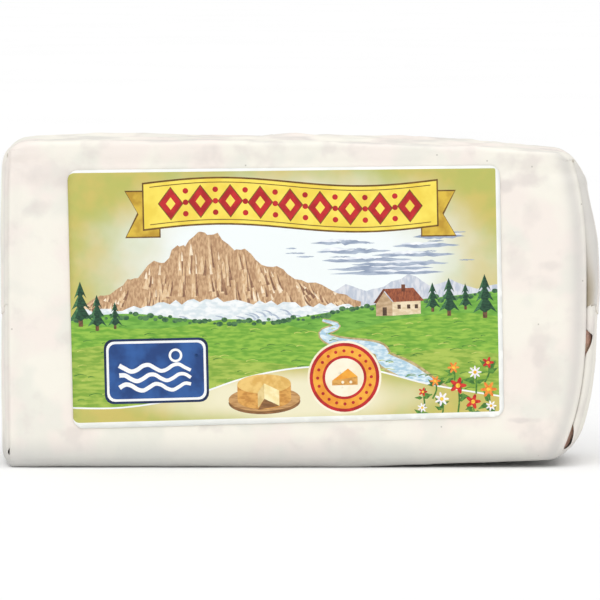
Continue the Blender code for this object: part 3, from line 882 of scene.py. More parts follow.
def disc(centre_u, centre_v, radius, sides=28, squash=1.0):
    """A round or flattened field."""
    turns = [2 * math.pi * k / sides for k in range(sides)]
    return [round_point(centre_u, centre_v, radius, turn, squash) for turn in turns]


def rounded_box(left, bottom, right, top, corner, steps=4, right_corner=None):
    """A rectangle with rounded corners, those at its right of another size where one is given."""
    other = corner if right_corner is None else right_corner
    centres = ((right - other, top - other, other), (left + corner, top - corner, corner))
    centres += ((left + corner, bottom + corner, corner), (right - other, bottom + other, other))
    outline = []
    for k, centre in enumerate(centres):
        outline += [round_point(*centre, QUARTER_TURN * (k + step / steps)) for step in range(steps + 1)]
    return outline


def band(points, start_width, end_width, steps=6):
    """A winding strip that grows from one width to another along its line."""
    line = smooth_line(points, steps)
    left_side, right_side = [], []
    for k, point in enumerate(line):
        ahead = line[min(k + 1, len(line) - 1)] - line[max(k - 1, 0)]
        across = Vector((-ahead.y, ahead.x)).normalized()
        half = (start_width + (end_width - start_width) * k / (len(line) - 1)) / 2
        left_side.append(point + across * half)
        right_side.append(point - across * half)
    return left_side + right_side[::-1]


HALF_WIDE = LABEL_WIDTH / MM / 2
HALF_HIGH = LABEL_HEIGHT / MM / 2
BORDER_RIGHT, BORDER_TOP, BORDER_BOTTOM = 1.5, 1.0, 1.9
LOW = -HALF_HIGH - 1.0

# How many of each small thing the print has, and how finely streaks and petals are drawn
SLABS, LEDGES, HOLLOWS = 78, 34, 16
CLOUD_ROWS, WISPS, STREAK_STEPS = 9, 14, 12
SHRUBS, TUFTS = 88, 150
SEAL_DOTS, LEAVES, PETAL_STEPS = 20, 4, 6


def far_range():
    """A pale, distant range at the right."""
    ridge = ((10, -2), (20, 3.5), (27, 1), (33, 2.5), (41, 6.5), (48, 2.5), (55, 4.5), (64, 1), (74, 3))
    return [("far_rock", down_to(craggy_line(ridge, 3, 0.4, random.Random(11)), -8))]


ROCK_CREST = (
    (-70, -4), (-64, 0.5), (-59, 1.5), (-53, 6.5), (-49.5, 6.8), (-44, 12.5), (-40.5, 11.8),
    (-36, 17.5), (-33.5, 17), (-29, 21.8), (-26, 20.8), (-22.5, 21.5), (-17, 15.5), (-13.5, 16),
    (-8, 10.5), (-3, 10), (3, 5.5), (10, 4.2), (17, 0.5), (25, -2.5),
)
ROCK_FOOT = -7.0
ROCK_PEAK = -27.0


def on_line(points, u):
    """Height of a broken line at u."""
    for (low_u, low_v), (high_u, high_v) in zip(points, points[1:]):
        if low_u <= u <= high_u:
            return low_v + (high_v - low_v) * (u - low_u) / (high_u - low_u)
    return points[-1][1]


def rock_stroke(ink, u, depth, length, width, shift):
    """A stroke down the rock face that leans away from the highest peak."""
    high = on_line(ROCK_CREST, u) - ROCK_FOOT
    top_v = ROCK_FOOT + high * (1 - depth)
    lean = 0.16 * (u - ROCK_PEAK) * length + shift
    fall = high * length
    line = ((u, top_v), (u + 0.3 * lean, top_v - 0.45 * fall), (u + lean, top_v - fall))
    return ink, band(line, 0.15 * width, width, 3)


def massif():
    """A broad rock face: slabs lit from the left, each with a dark cleft at its right."""
    dice = random.Random(5)
    fields = [("rock_mid", down_to(craggy_line(ROCK_CREST, 3, 0.5, dice), ROCK_FOOT))]
    for _ in range(SLABS):
        u, depth = dice.uniform(-68, 20), dice.uniform(0.02, 0.62)
        length, width, shift = dice.uniform(0.2, 0.38), dice.uniform(0.9, 2.3), dice.uniform(-0.5, 0.7)
        fields.append(rock_stroke("rock_light", u, depth, length, width, shift))
        cleft = (u + 0.55 * width, depth + 0.03, 0.9 * length, 0.55 * width, shift)
        fields.append(rock_stroke("rock_deep", *cleft))
    for _ in range(LEDGES):
        u, depth = dice.uniform(-66, 18), dice.uniform(0.02, 0.6)
        length, width = dice.uniform(0.08, 0.2), dice.uniform(0.5, 1.2)
        fields.append(rock_stroke("rock_pale", u, depth, length, width, 0.2))
    return fields


def scree():
    """Pale rubble and old snow under the rock face, with bluish hollows."""
    dice = random.Random(17)
    rim = []
    for u in range(-71, 34, 2):
        rise = 2.2 + 0.13 * (on_line(ROCK_CREST, u) - ROCK_FOOT)
        rim.append(Vector((u, ROCK_FOOT + rise + dice.uniform(-0.8, 1.1))))
    fields = [("scree", rim + corners((34, -11), (-72, -11)))]
    for _ in range(HOLLOWS):
        u, v = dice.uniform(-60, 22), dice.uniform(-7.5, -5.0)
        hollow = ((u - 2.2, v + 0.5), (u, v), (u + 1.2, v - 1.3))
        fields.append(("scree_shade", band(hollow, 0.2, 0.8, 3)))
    return fields


def streak(ink, middle_u, middle_v, half, height, dice):
    """A ragged streak of cloud."""
    top, low = [], []
    for step in range(STREAK_STEPS + 1):
        u = middle_u - half + 2 * half * step / STREAK_STEPS
        bulge = math.sin(math.pi * step / STREAK_STEPS) ** 0.7
        top.append(Vector((u, middle_v + height * bulge * dice.uniform(0.25, 1.0))))
        u += dice.uniform(-0.4, 0.4)
        low.append(Vector((u, middle_v - height * bulge * dice.uniform(0.15, 0.8) - 0.05)))
    return ink, low + top[::-1]


def clouds():
    """Slate streaks with white rims in the right half of the sky."""
    dice = random.Random(29)
    fields = []
    for row in range(CLOUD_ROWS):
        u, v = 34 + 2.2 * row * (-1) ** row, 7.0 + 1.5 * row
        fields.append(streak("cloud_slate", u, v, 19 - 1.3 * row, 1.25, dice))
        u += dice.uniform(-6, 6)
        fields.append(streak("cloud_white", u, v + 0.75, 10 - 0.6 * row, 0.8, dice))
    for _ in range(WISPS):
        u, v = dice.uniform(2, 62), dice.uniform(8, 22)
        fields.append(streak("cloud_slate", u, v, dice.uniform(1.2, 3.6), 0.35, dice))
    return fields


def woods():
    """Dark dabs of shrubs along the upper rim of the meadow."""
    dice = random.Random(41)
    fields = []
    for step in range(SHRUBS):
        u = -72 + 1.65 * step
        v = on_line(MEADOW_CREST, u) + dice.uniform(-1.3, 0.5)
        fields.append(("woods", disc(u, v, dice.uniform(0.5, 1.25), 9, 0.75)))
    return fields


MEADOW_CREST = (
    (-74, -6), (-52, -5), (-30, -7.5), (-8, -8.5), (10, -6.5), (30, -3.6), (52, -1.5), (74, 0.5),
)
MEADOW_FOOT = (
    (-76, -36), (-56, -36.5), (-34, -33.5), (-14, -27.5), (6, -24.5), (26, -25.5), (48, -31.5), (76, -37),
)
# Meadows, one in front of the other
MEADOWS = (
    ("grass_far", MEADOW_CREST),
    ("grass_mid", ((-74, -7), (-58, -9.5), (-40, -10), (-20, -7.5), (-2, -9.5), (16, -13.5), (34, -13))),
    ("grass_mid", ((6, -15.5), (22, -12), (40, -8.5), (58, -7), (74, -9))),
    ("grass_near", ((-74, -17), (-56, -15), (-38, -17.5), (-18, -21), (2, -23.5), (18, -27))),
    ("grass_near", ((24, -24), (40, -20.5), (56, -19), (74, -22))),
)


def hills():
    """Rolling fields of grass that go down to the label's lower edge."""
    return [(ink, down_to(smooth_line(crest), LOW)) for ink, crest in MEADOWS]


def golden_strip():
    """The bare ground below the meadow, parted from it by a white rim."""
    return [("white", band(MEADOW_FOOT, 1.1, 1.1)), ("ground", down_to(smooth_line(MEADOW_FOOT), LOW))]


def stream():
    """A brook that winds down between the meadows."""
    line = ((12, -8.5), (17, -10.5), (12, -13), (17, -16), (30, -18.5), (33, -22.5), (41, -27), (52, -36))
    return [("bank", band(line, 1.2, 8.5)), ("water", band(line, 0.6, 6.4))]


def tufts():
    """Short strokes of darker and lighter grass over the meadows."""
    dice = random.Random(23)
    fields = []
    for _ in range(TUFTS):
        u, v = dice.uniform(-70, 68), dice.uniform(-35, -9)
        long = dice.uniform(0.8, 2.6) * (0.5 + 0.5 * -v / 25)
        stroke = ((u - long, v), (u, v + 0.25 * long), (u + long, v + 0.05))
        fields.append((dice.choice(("grass_dark", "grass_light")), band(stroke, 0.35, 0.15, 3)))
    return fields


def pine(u, v, height):
    """A fir of three tiers with its trunk. Each tier has a lit left side."""
    fields = [("bark", rounded_box(u - 0.05 * height, v, u + 0.05 * height, v + 0.2 * height, 0.1, 1))]
    for tier in range(3):
        low = v + height * (0.12 + 0.25 * tier)
        top = v + height * (0.55 + 0.225 * tier)
        half = height * (0.27 - 0.065 * tier)
        left = ((u - half, low), (u - 0.45 * half, low + 0.08 * height), (u, low))
        right = ((u + 0.5 * half, low + 0.09 * height), (u + half, low), (u, top))
        fields.append(("pine_dark", corners(*left, *right)))
        lit = corners((u - half, low), (u - 0.4 * half, low + 0.1 * height), (u, top))
        fields.append(("pine_light", lit))
    return fields


PINES = (
    (-69, -9, 15), (-63.5, -10.5, 12), (-57.5, -10, 9),
    (49, -6.5, 10), (54.5, -8, 13), (60, -6, 9), (66.5, -9, 15),
)


def pines():
    """Firs at both sides of the valley."""
    return [field for u, v, height in PINES for field in pine(u, v, height)]


def hut():
    """A small farmhouse with a brown roof on the right hill."""
    return [
        ("wall_shade", corners((30, -7.5), (35.5, -7.5), (35.5, -2.8), (32.8, 0.6), (30, -2.8))),
        ("wall", corners((35.5, -7.5), (45, -7), (45, -2.6), (35.5, -2.8))),
        ("roof", corners((32.4, 1.6), (42.6, 1.8), (46.2, -2.6), (35.9, -2.9))),
        ("roof_edge", corners((29.2, -3.1), (32.6, 1.7), (33.2, 1.3), (30.2, -3.2))),
        ("shutter", square(37.2, -5.2, 38.3, -3.8)),
        ("shutter", square(40.4, -5.2, 41.5, -3.8)),
        ("shutter", square(43.0, -5.2, 44.1, -3.8)),
        ("roof_edge", square(38.6, 0.6, 39.9, 3.0)),
        ("shutter", square(32.2, -7.4, 33.6, -4.6)),
    ]


def cheese_wheel():
    """A round of cheese with a wedge taken out, lying on a wooden board."""
    u, v, radius, high = -8.0, -29.5, 9.0, 5.2
    foot = v - high
    top, hub = (u, v + 0.2), (u, foot + 0.2)
    cut_left, cut_right = (u - 2.2, v - 2.85), (u + 5.0, v - 2.35)
    left_foot, right_foot = (cut_left[0], cut_left[1] - high), (cut_right[0], cut_right[1] - high)
    return [
        ("board_edge", disc(u, foot - 0.9, radius * 1.34, 32, 0.34)),
        ("board", disc(u, foot + 0.1, radius * 1.34, 32, 0.34)),
        ("wheel_side", [point + Vector((0, -high)) for point in disc(u, v, radius, 28, 0.36)]),
        ("wheel_side", square(u - radius, foot, u + radius, v)),
        ("wheel_top", disc(u, v, radius, 32, 0.36)),
        ("paste", corners(top, cut_right, right_foot, hub)),
        ("paste_shade", corners(top, hub, left_foot, cut_left)),
        ("board_edge", corners(hub, right_foot, (left_foot[0], left_foot[1] - 0.6))),
    ]


RIBBON_LEFT, RIBBON_RIGHT = -47.0, 51.0
RIBBON_MIDDLE, RIBBON_HALF = 30.4, 7.4
RIBBON_WAVE = 1.7
LOZENGES = 9


def ribbon_point(u, share):
    """A point of the waving ribbon; share is -1 on its lower edge and 1 on its upper one."""
    phase = math.pi * (u - RIBBON_LEFT) / (RIBBON_RIGHT - RIBBON_LEFT)
    return Vector((u, RIBBON_MIDDLE + RIBBON_WAVE * math.sin(2 * phase) + share * RIBBON_HALF))


def ribbon_strip(past_ends, low, high, steps=24):
    """The ribbon's whole length and a bit past its ends, between two shares of its height."""
    left, right = RIBBON_LEFT - past_ends, RIBBON_RIGHT + past_ends
    places = [left + (right - left) * step / steps for step in range(steps + 1)]
    return [ribbon_point(u, low) for u in places] + [ribbon_point(u, high) for u in reversed(places)]


def ribbon_tail(start, side):
    """The swallow-tailed end that goes back behind the ribbon."""
    low, high = ribbon_point(start, -1.0), ribbon_point(start, 1.0)
    out, fall = Vector((11.0 * side, 0)), Vector((0, -3.0))
    notch = (low + high) / 2 + Vector((0.62 * 11.0 * side, 0)) + fall
    return [low + fall, high + fall, high + fall + out, notch, low + fall + out]


def grown(outline, by):
    """The outline moved outwards from its middle, for a border round a field."""
    middle = sum(outline, Vector((0, 0))) / len(outline)
    away = [point - middle for point in outline]
    return [point + Vector([math.copysign(by, c) for c in off]) for point, off in zip(outline, away)]


def ribbon():
    """A yellow ribbon with a row of red lozenges, and three dots between each two."""
    fields = []
    for start, side in ((RIBBON_LEFT + 5.0, -1), (RIBBON_RIGHT - 5.0, 1)):
        tail = ribbon_tail(start, side)
        fields += [("brown_line", grown(tail, 0.45)), ("ribbon_fold", tail)]
    strips = (("brown_line", 0.5, -1.08, 1.08), ("ribbon_yellow", 0.0, -1.0, 1.0))
    strips += (("brown_line", -2.0, -0.86, -0.82), ("brown_line", -2.0, 0.82, 0.86))
    fields += [(ink, ribbon_strip(past_ends, low, high)) for ink, past_ends, low, high in strips]
    step = (RIBBON_RIGHT - RIBBON_LEFT - 8.0) / LOZENGES
    for k in range(LOZENGES):
        middle = ribbon_point(RIBBON_LEFT + 4.0 + step * (k + 0.5), 0.0)
        for ink, wide, high in (("brown_line", 4.3, 5.6), ("red", 3.9, 5.1), ("ribbon_yellow", 1.6, 2.1)):
            points = corners((wide, 0), (0, high), (-wide, 0), (0, -high))
            fields.append((ink, [middle + point for point in points]))
        if k:
            joint = ribbon_point(RIBBON_LEFT + 4.0 + step * k, 0.0)
            fields += [("red", disc(joint.x, joint.y + lift, 0.95, 12)) for lift in (-3.8, 0.0, 3.8)]
    return fields


def plaque():
    """A blue enamel plaque with white waves."""
    fields = []
    for ink, inset, corner in (("plaque_dark", 0.0, 3.0), ("white", 0.8, 2.6), ("plaque_blue", 1.6, 2.2)):
        box = rounded_box(-61.5 + inset, -35.0 + inset, -26.5 - inset, -13.4 - inset, corner)
        fields.append((ink, box))
    for k, base in enumerate((-29.6, -26.4, -23.2)):
        wave = [(-56.5 + 2.0 * s, base + 1.1 * math.sin(s * 1.25 + k)) for s in range(13)]
        fields.append(("white", band(wave, 1.5, 1.1, 4)))
    ring = (("white", 2.3), ("plaque_blue", 1.5))
    return fields + [(ink, disc(-37.5, -19.2, radius, 20)) for ink, radius in ring]


def seal():
    """A round seal of plain rings with a wedge of cheese in it."""
    u, v = 19.0, -28.0
    rings = (("cream", 12.4), ("red", 11.7), ("orange", 10.6), ("red", 7.4), ("cream", 6.5))
    fields = [(ink, disc(u, v, radius, 48)) for ink, radius in rings]
    for k in range(SEAL_DOTS):
        turn = 2 * math.pi * k / SEAL_DOTS
        fields.append(("red", disc(u + 9.0 * math.cos(turn), v + 9.0 * math.sin(turn), 0.55, 10)))
    low_left, low_right = (u - 4.2, v - 1.0), (u + 4.4, v + 0.2)
    fields += [("wheel_side", corners((u - 4.2, v - 2.6), (u + 4.4, v - 2.6), low_right, low_left))]
    fields += [("orange", corners(low_left, low_right, (u + 1.2, v + 3.0)))]
    return fields + [("cream", disc(u + hole, v - 1.6, 0.5, 10)) for hole in (-0.6, 2.1)]


def blossom(ink, u, v, radius, petals, turn):
    """A flower seen from the front, with a yellow eye."""
    outline = []
    for step in range(petals * PETAL_STEPS):
        angle = turn + 2 * math.pi * step / (petals * PETAL_STEPS)
        reach = radius * (0.7 + 0.3 * math.cos(petals * angle))
        outline.append(Vector((u, v)) + reach * Vector((math.cos(angle), math.sin(angle))))
    return [(ink, outline), ("eye", disc(u, v, 0.26 * radius, 12))]


def leaf(u, v, length, turn):
    """A pointed leaf."""
    along = Vector((math.cos(turn), math.sin(turn))) * length
    across = Vector((-along.y, along.x)) * 0.22
    start = Vector((u, v))
    return [("leaf", [start, start + 0.35 * along - across, start + along, start + 0.35 * along + across])]


FLOWER_HEADS = (
    ("petal_white", 51.5, -36.2, 2.5, 7), ("petal_red", 57.0, -31.8, 3.0, 5),
    ("petal_white", 62.8, -27.4, 2.3, 8), ("petal_orange", 67.3, -33.4, 2.9, 6),
    ("petal_red", 62.0, -37.4, 2.7, 5), ("petal_orange", 55.6, -25.6, 2.1, 6),
    ("petal_white", 68.0, -39.0, 1.9, 7), ("petal_red", 67.2, -24.2, 2.1, 5),
    ("petal_orange", 49.4, -30.0, 1.9, 6), ("petal_white", 44.9, -39.0, 1.7, 7),
    ("petal_red", 45.2, -33.6, 1.6, 5),
)


def flowers():
    """Meadow flowers in the lower right corner, on stems and leaves."""
    dice = random.Random(31)
    fields = []
    for _, u, v, radius, _ in FLOWER_HEADS:
        foot = (u + dice.uniform(-1.5, 1.5), v - 3.2 * radius)
        fields.append(("leaf", band(((u, v), (u + 0.4, v - 1.6 * radius), foot), 0.5, 0.6, 3)))
        for _ in range(LEAVES):
            start_v = v - dice.uniform(0.6, 1.8) * radius
            fields += leaf(u, start_v, dice.uniform(2.6, 4.4), dice.uniform(-0.6, math.pi + 0.6))
    for head in FLOWER_HEADS:
        fields += blossom(*head, dice.uniform(0, 1))
    return fields


MOTIFS = (
    clouds, far_range, massif, scree, hills, woods, stream, tufts, golden_strip, pines, hut,
    cheese_wheel, ribbon, plaque, seal, flowers,
)


def print_fields():
    """All fields of the print from the bottom one up, as (ink, outline)."""
    stock = rounded_box(-HALF_WIDE, -HALF_HIGH, HALF_WIDE, HALF_HIGH, LABEL_CORNER / MM, 6)
    right, low, high = HALF_WIDE - BORDER_RIGHT, -HALF_HIGH + BORDER_BOTTOM, HALF_HIGH - BORDER_TOP
    ground = rounded_box(-HALF_WIDE - 0.2, low, right, high, 2.4, 6, right_corner=0.6)
    return [("stock", stock), ("ground", ground)] + [field for motif in MOTIFS for field in motif()]


def label_grid():
    """Loose points over the label, so that its triangles stay small enough to drape."""
    points = []
    columns, rows = int(2 * HALF_WIDE / LABEL_GRID), int(2 * HALF_HIGH / LABEL_GRID)
    for i in range(1, columns):
        for k in range(1, rows):
            stagger = 0.5 * LABEL_GRID if k % 2 else 0.0
            points.append(Vector((-HALF_WIDE + LABEL_GRID * i + stagger, -HALF_HIGH + LABEL_GRID * k)))
    return points


def label_point(u, v, label, paper):
    """A point of the label in metres, laid on the front paper, turned and lower at the right."""
    across, up = u * MM, v * MM * (1 - LABEL_TAPER * u / HALF_WIDE)
    x = LABEL_X + across * math.cos(LABEL_TURN) - up * math.sin(LABEL_TURN)
    z = LABEL_Z + across * math.sin(LABEL_TURN) + up * math.cos(LABEL_TURN)
    lie = face_swell(x, z) + front_relief(x, z, paper.crumple_height)
    stand_off = SOLID_PAPER / 2 + label.gap + label.thickness / 2
    return Vector((x, -BLOCK_DEPTH / 2 - lie - stand_off, z))


def counter_clockwise(outline):
    """The outline's points in counter-clockwise order."""
    turning = sum(a.cross(b) for a, b in zip(outline, outline[1:] + outline[:1]))
    return outline if turning > 0 else outline[::-1]


def short_edged(outline):
    """The outline with points added, so that no edge is longer than the grid's spacing."""
    points = []
    for start, end in zip(outline, outline[1:] + outline[:1]):
        parts = max(1, math.ceil((end - start).length / LABEL_GRID))
        points += [start.lerp(end, k / parts) for k in range(parts)]
    return points


def label_mesh(label, paper):
    """The printed sheet, cut into the print's fields along their outlines."""
    fields = [(ink, short_edged(counter_clockwise(outline))) for ink, outline in print_fields()]
    points, outlines = [], []
    for _, outline in fields:
        outlines.append(list(range(len(points), len(points) + len(outline))))
        points += outline
    points += label_grid()
    inside_only = 1
    spots, _, faces, _, _, sources = geometry.delaunay_2d_cdt(points, [], outlines, inside_only, 1e-4)
    inks = sorted({ink for ink, _ in fields})
    mesh = bmesh.new()
    vertices = [mesh.verts.new(label_point(spot.x, spot.y, label, paper)) for spot in spots]
    for face, source in zip(faces, sources):
        if 0 not in source:
            continue
        top = max(source) if 1 in source else 0
        made = mesh.faces.new([vertices[k] for k in face])
        made.material_index = inks.index(fields[top][0])
    bmesh.ops.delete(mesh, geom=[v for v in mesh.verts if not v.link_faces], context="VERTS")
    return mesh, inks


# Materials


def linear(red, green, blue):
    """A colour given as seen on a screen, from 0 to 255, as light."""
    channels = [value / 255 for value in (red, green, blue)]
    return tuple(c / 12.92 if c <= 0.04045 else ((c + 0.055) / 1.055) ** 2.4 for c in channels)


class Finish:
    """A procedural material in the making, with the tone that its surface has so far."""

    def __init__(self, name, tone):
        self.material = bpy.data.materials.new(name)
        self.material.use_nodes = True
        self.tree = self.material.node_tree
        self.shader = self.tree.nodes["Principled BSDF"]
        self.place = self.node("TexCoord", {}, "Object")
        self.tone = tone

    def feed(self, socket, value):
        """Set a socket, or link it to another node's output."""
        if isinstance(value, bpy.types.NodeSocket):
            self.tree.links.new(value, socket)
        elif socket.type == "RGBA":
            socket.default_value = (*value[:3], 1.0)
        else:
            socket.default_value = value

    def node(self, kind, inputs, output=0, **settings):
        """An output of a new node, with its settings, and its inputs set or linked."""
        made = self.tree.nodes.new("ShaderNode" + kind)
        for name, value in settings.items():
            setattr(made, name, value)
        for key, value in inputs.items():
            self.feed(made.inputs[key], value)
        return made.outputs[output]

    def math(self, operation, first, second):
        """Two values brought together by one operation, such as ADD."""
        return self.node("Math", {0: first, 1: second}, operation=operation)

    def times(self, value, factor):
        """A value times a number or another value."""
        return self.math("MULTIPLY", value, factor)

    def ramp(self, value, low, high, new_low=0.0, new_high=1.0):
        """A value taken from one range to another with a soft start and stop."""
        inputs = dict(enumerate((value, low, high, new_low, new_high)))
        return self.node("MapRange", inputs, interpolation_type="SMOOTHSTEP")

    def patches(self, size, low, high, detail=2.0, shift=(0, 0, 0), stretch=(1, 1, 1)):
        """Soft random patches of a size in metres, as a share between 0 and 1."""
        scaled = [s / size for s in stretch]
        moved = self.node("Mapping", {"Vector": self.place, "Location": shift, "Scale": scaled})
        inputs = {"Vector": moved, "Scale": 1.0, "Detail": detail}
        return self.ramp(self.node("TexNoise", inputs, "Fac"), low, high)

    def mixed(self, share, first, second):
        """Two colours mixed by a share."""
        return self.node("Mix", {0: share, 6: first, 7: second}, 2, data_type="RGBA", blend_type="MIX")

    def lay(self, share, colour):
        """Lay a colour over the tone by a share."""
        self.tone = self.mixed(share, self.tone, colour)

    def mottle(self, colour, most, *sizes, **more):
        """Lay a colour over the tone in soft random patches, up to a share."""
        share = self.patches(*sizes, **more)
        self.lay(share if most == 1 else self.times(share, most), colour)

    def distance_in(self, middle, halves):
        """Distance from a point, where each half size counts as one."""
        inputs = {0: self.place, 1: (SHIFT.x + middle[0], middle[1], middle[2])}
        offset = self.node("VectorMath", inputs, operation="SUBTRACT")
        inputs = {0: offset, 1: [1 / half if half else 0.0 for half in halves]}
        offset = self.node("VectorMath", inputs, operation="MULTIPLY")
        return self.node("VectorMath", {0: offset}, "Value", operation="LENGTH")

    def facing_part(self, axis):
        """One part of the surface's normal."""
        return self.node("SeparateXYZ", {0: self.node("NewGeometry", {}, "Normal")}, axis)

    def layer(self, name):
        """The mesh's own values of this name."""
        return self.node("Attribute", {}, "Fac", attribute_name=name)

    def bumped(self, height, strength, distance):
        """Give the surface a fine relief."""
        inputs = {"Height": height, "Strength": strength, "Distance": distance}
        self.feed(self.shader.inputs["Normal"], self.node("Bump", inputs))

    def finished(self, **values):
        """The material, with its tone and the shader's other values, named with _ for spaces."""
        self.feed(self.shader.inputs["Base Color"], self.tone)
        for name, value in values.items():
            self.feed(self.shader.inputs[name.replace("_", " ")], value)
        return self.material


SPECKS_PER_METRE = 62.0
# How high the painted shade along the foot reaches
FOOT_SHADE_TOP = 0.0125

# Stains in the paper, and painted shade in the two pits where the front top fold runs into the flaps:
# middle point, half sizes, strength and tone
STAINS = (
    ((0.0780, -0.0250, 0.0975), (0.0085, 0.0200, 0.0036), 0.75, "damp"),
    ((0.0700, -0.0250, 0.0948), (0.0035, 0.0200, 0.0034), 0.75, "damp"),
    ((-0.0790, -0.0250, 0.0985), (0.0150, 0.0200, 0.0060), 0.50, "damp"),
    ((-0.0860, -0.0250, 0.0880), (0.0050, 0.0200, 0.0035), 0.50, "damp"),
    ((0.0840, -0.0250, 0.0300), (0.0060, 0.0200, 0.0120), 0.35, "damp"),
    ((0.0765, -0.0250, 0.0163), (0.0062, 0.0200, 0.0013), 0.75, "damp"),
    ((0.0850, -0.0250, 0.0683), (0.0052, 0.0200, 0.0024), 0.50, "damp"),
    ((0.0827, -0.0250, 0.0620), (0.0062, 0.0200, 0.0036), 0.40, "damp"),
    ((0.0821, -0.0250, 0.0375), (0.0036, 0.0200, 0.0042), 0.55, "damp"),
    ((0.0745, -0.0250, 0.0683), (0.0050, 0.0200, 0.0070), 0.35, "damp"),
    ((0.0787, -0.0250, 0.0855), (0.0042, 0.0200, 0.0056), 0.35, "damp"),
    # These two are painted shade in the pits at the ends of the front top fold
    ((0.0930, -0.0240, 0.1033), (0.0008, 0.0040, 0.0008), 0.75, "olive"),
    ((-0.0971, -0.0225, 0.1053), (0.0008, 0.0040, 0.0014), 0.75, "olive"),
)


def specks(sheet):
    """A few tiny dots on the two large faces, as a share."""
    flat = sheet.node("Mapping", {"Vector": sheet.place, "Rotation": (QUARTER_TURN, 0.0, 0.0)})
    inputs = {"Vector": flat, "Scale": SPECKS_PER_METRE}
    cells = sheet.node("TexVoronoi", inputs, voronoi_dimensions="2D").node
    rare = sheet.node("SeparateColor", {0: cells.outputs["Color"]})
    dot = sheet.ramp(cells.outputs["Distance"], 0.024, 0.008)
    dot = sheet.times(dot, sheet.ramp(rare, 0.78, 0.80))
    facing = sheet.facing_part(1)
    return sheet.times(dot, sheet.ramp(sheet.times(facing, facing), 0.6, 0.8))


def paper_material(paper):
    """Off-white food paper, mottled where it clings to the moist rind, with a faint fibre grain and
    painted shade.
    """
    sheet = Finish("wrapping_paper", paper.cream)
    sheet.mottle(paper.blush, 1, 0.021, 0.42, 0.60, shift=(3, 1, 7))
    sheet.mottle(paper.grey_green, 0.75, 0.016, 0.50, 0.66, shift=(9, 4, 2))
    sheet.mottle(paper.damp, 0.55, 0.010, 0.52, 0.74, 3.0, shift=(5, 8, 3))
    ragged = sheet.patches(0.0045, 0.2, 0.8, 3.0, shift=(6, 2, 8))
    for middle, halves, strength, name in STAINS:
        away = sheet.math("ADD", sheet.distance_in(middle, halves), sheet.times(ragged, 0.5))
        sheet.lay(sheet.ramp(away, 1.3, 0.5, 0.0, strength), getattr(paper, name))
    # Painted shade of the long wrinkles: grey streaks laid only on faces that look up
    streaks = sheet.patches(0.011, 0.47, 0.62, 3.0, shift=(2, 6, 1), stretch=(0.55, 1.2, 1))
    on_top = sheet.ramp(sheet.facing_part(2), 0.5, 0.9, 0.0, 0.5)
    sheet.lay(sheet.times(streaks, on_top), paper.painted_shade)
    # Painted shade on the flaps' shoulders and just inside the lips
    sheet.lay(sheet.layer("painted_shade"), paper.painted_shade)
    # Olive tone where the upper right flap curls in by the lip: partly rind stain, partly painted shade of
    # the crevice
    sheet.lay(sheet.times(sheet.layer("stained_and_shaded"), 0.9), paper.olive)
    sheet.lay(sheet.times(specks(sheet), 0.45), paper.speck)
    # Painted shade along the foot: greyer towards the bottom
    height = sheet.node("SeparateXYZ", {0: sheet.place}, 2)
    sheet.lay(sheet.ramp(height, FOOT_SHADE_TOP, 0.0, 0.0, 0.85), paper.foot)
    soft = sheet.patches(0.0048, 0.25, 0.75, 4.0, shift=(1, 2, 3))
    fibre = sheet.patches(0.0011, 0.2, 0.8, 3.0, stretch=(1, 1, 2.2))
    sheet.bumped(sheet.math("ADD", soft, sheet.times(fibre, 0.12)), 0.30, 0.00022)
    return sheet.finished(Roughness=0.62, Specular_IOR_Level=0.35)


def rind_material(rind):
    """Washed rind: moist orange-brown with pinkish bloom and patches of grey-brown mould."""
    skin = Finish("washed_rind", rind.brown)
    skin.mottle(rind.pink, 1, 0.012, 0.35, 0.62, 4.0)
    skin.mottle(rind.bloom, 0.7, 0.0065, 0.52, 0.70, 5.0, shift=(4, 7, 1))
    skin.mottle(rind.mould, 0.5, 0.0032, 0.60, 0.72, 4.0, shift=(2, 5, 9))
    skin.bumped(skin.patches(0.0014, 0.3, 0.7, 4.0), 0.5, 0.0004)
    moist = skin.patches(0.004, 1.1, -0.2, 3.0)
    depth = (0.004, 0.002, 0.001)
    return skin.finished(Roughness=moist, Subsurface_Weight=0.08, Subsurface_Radius=depth)


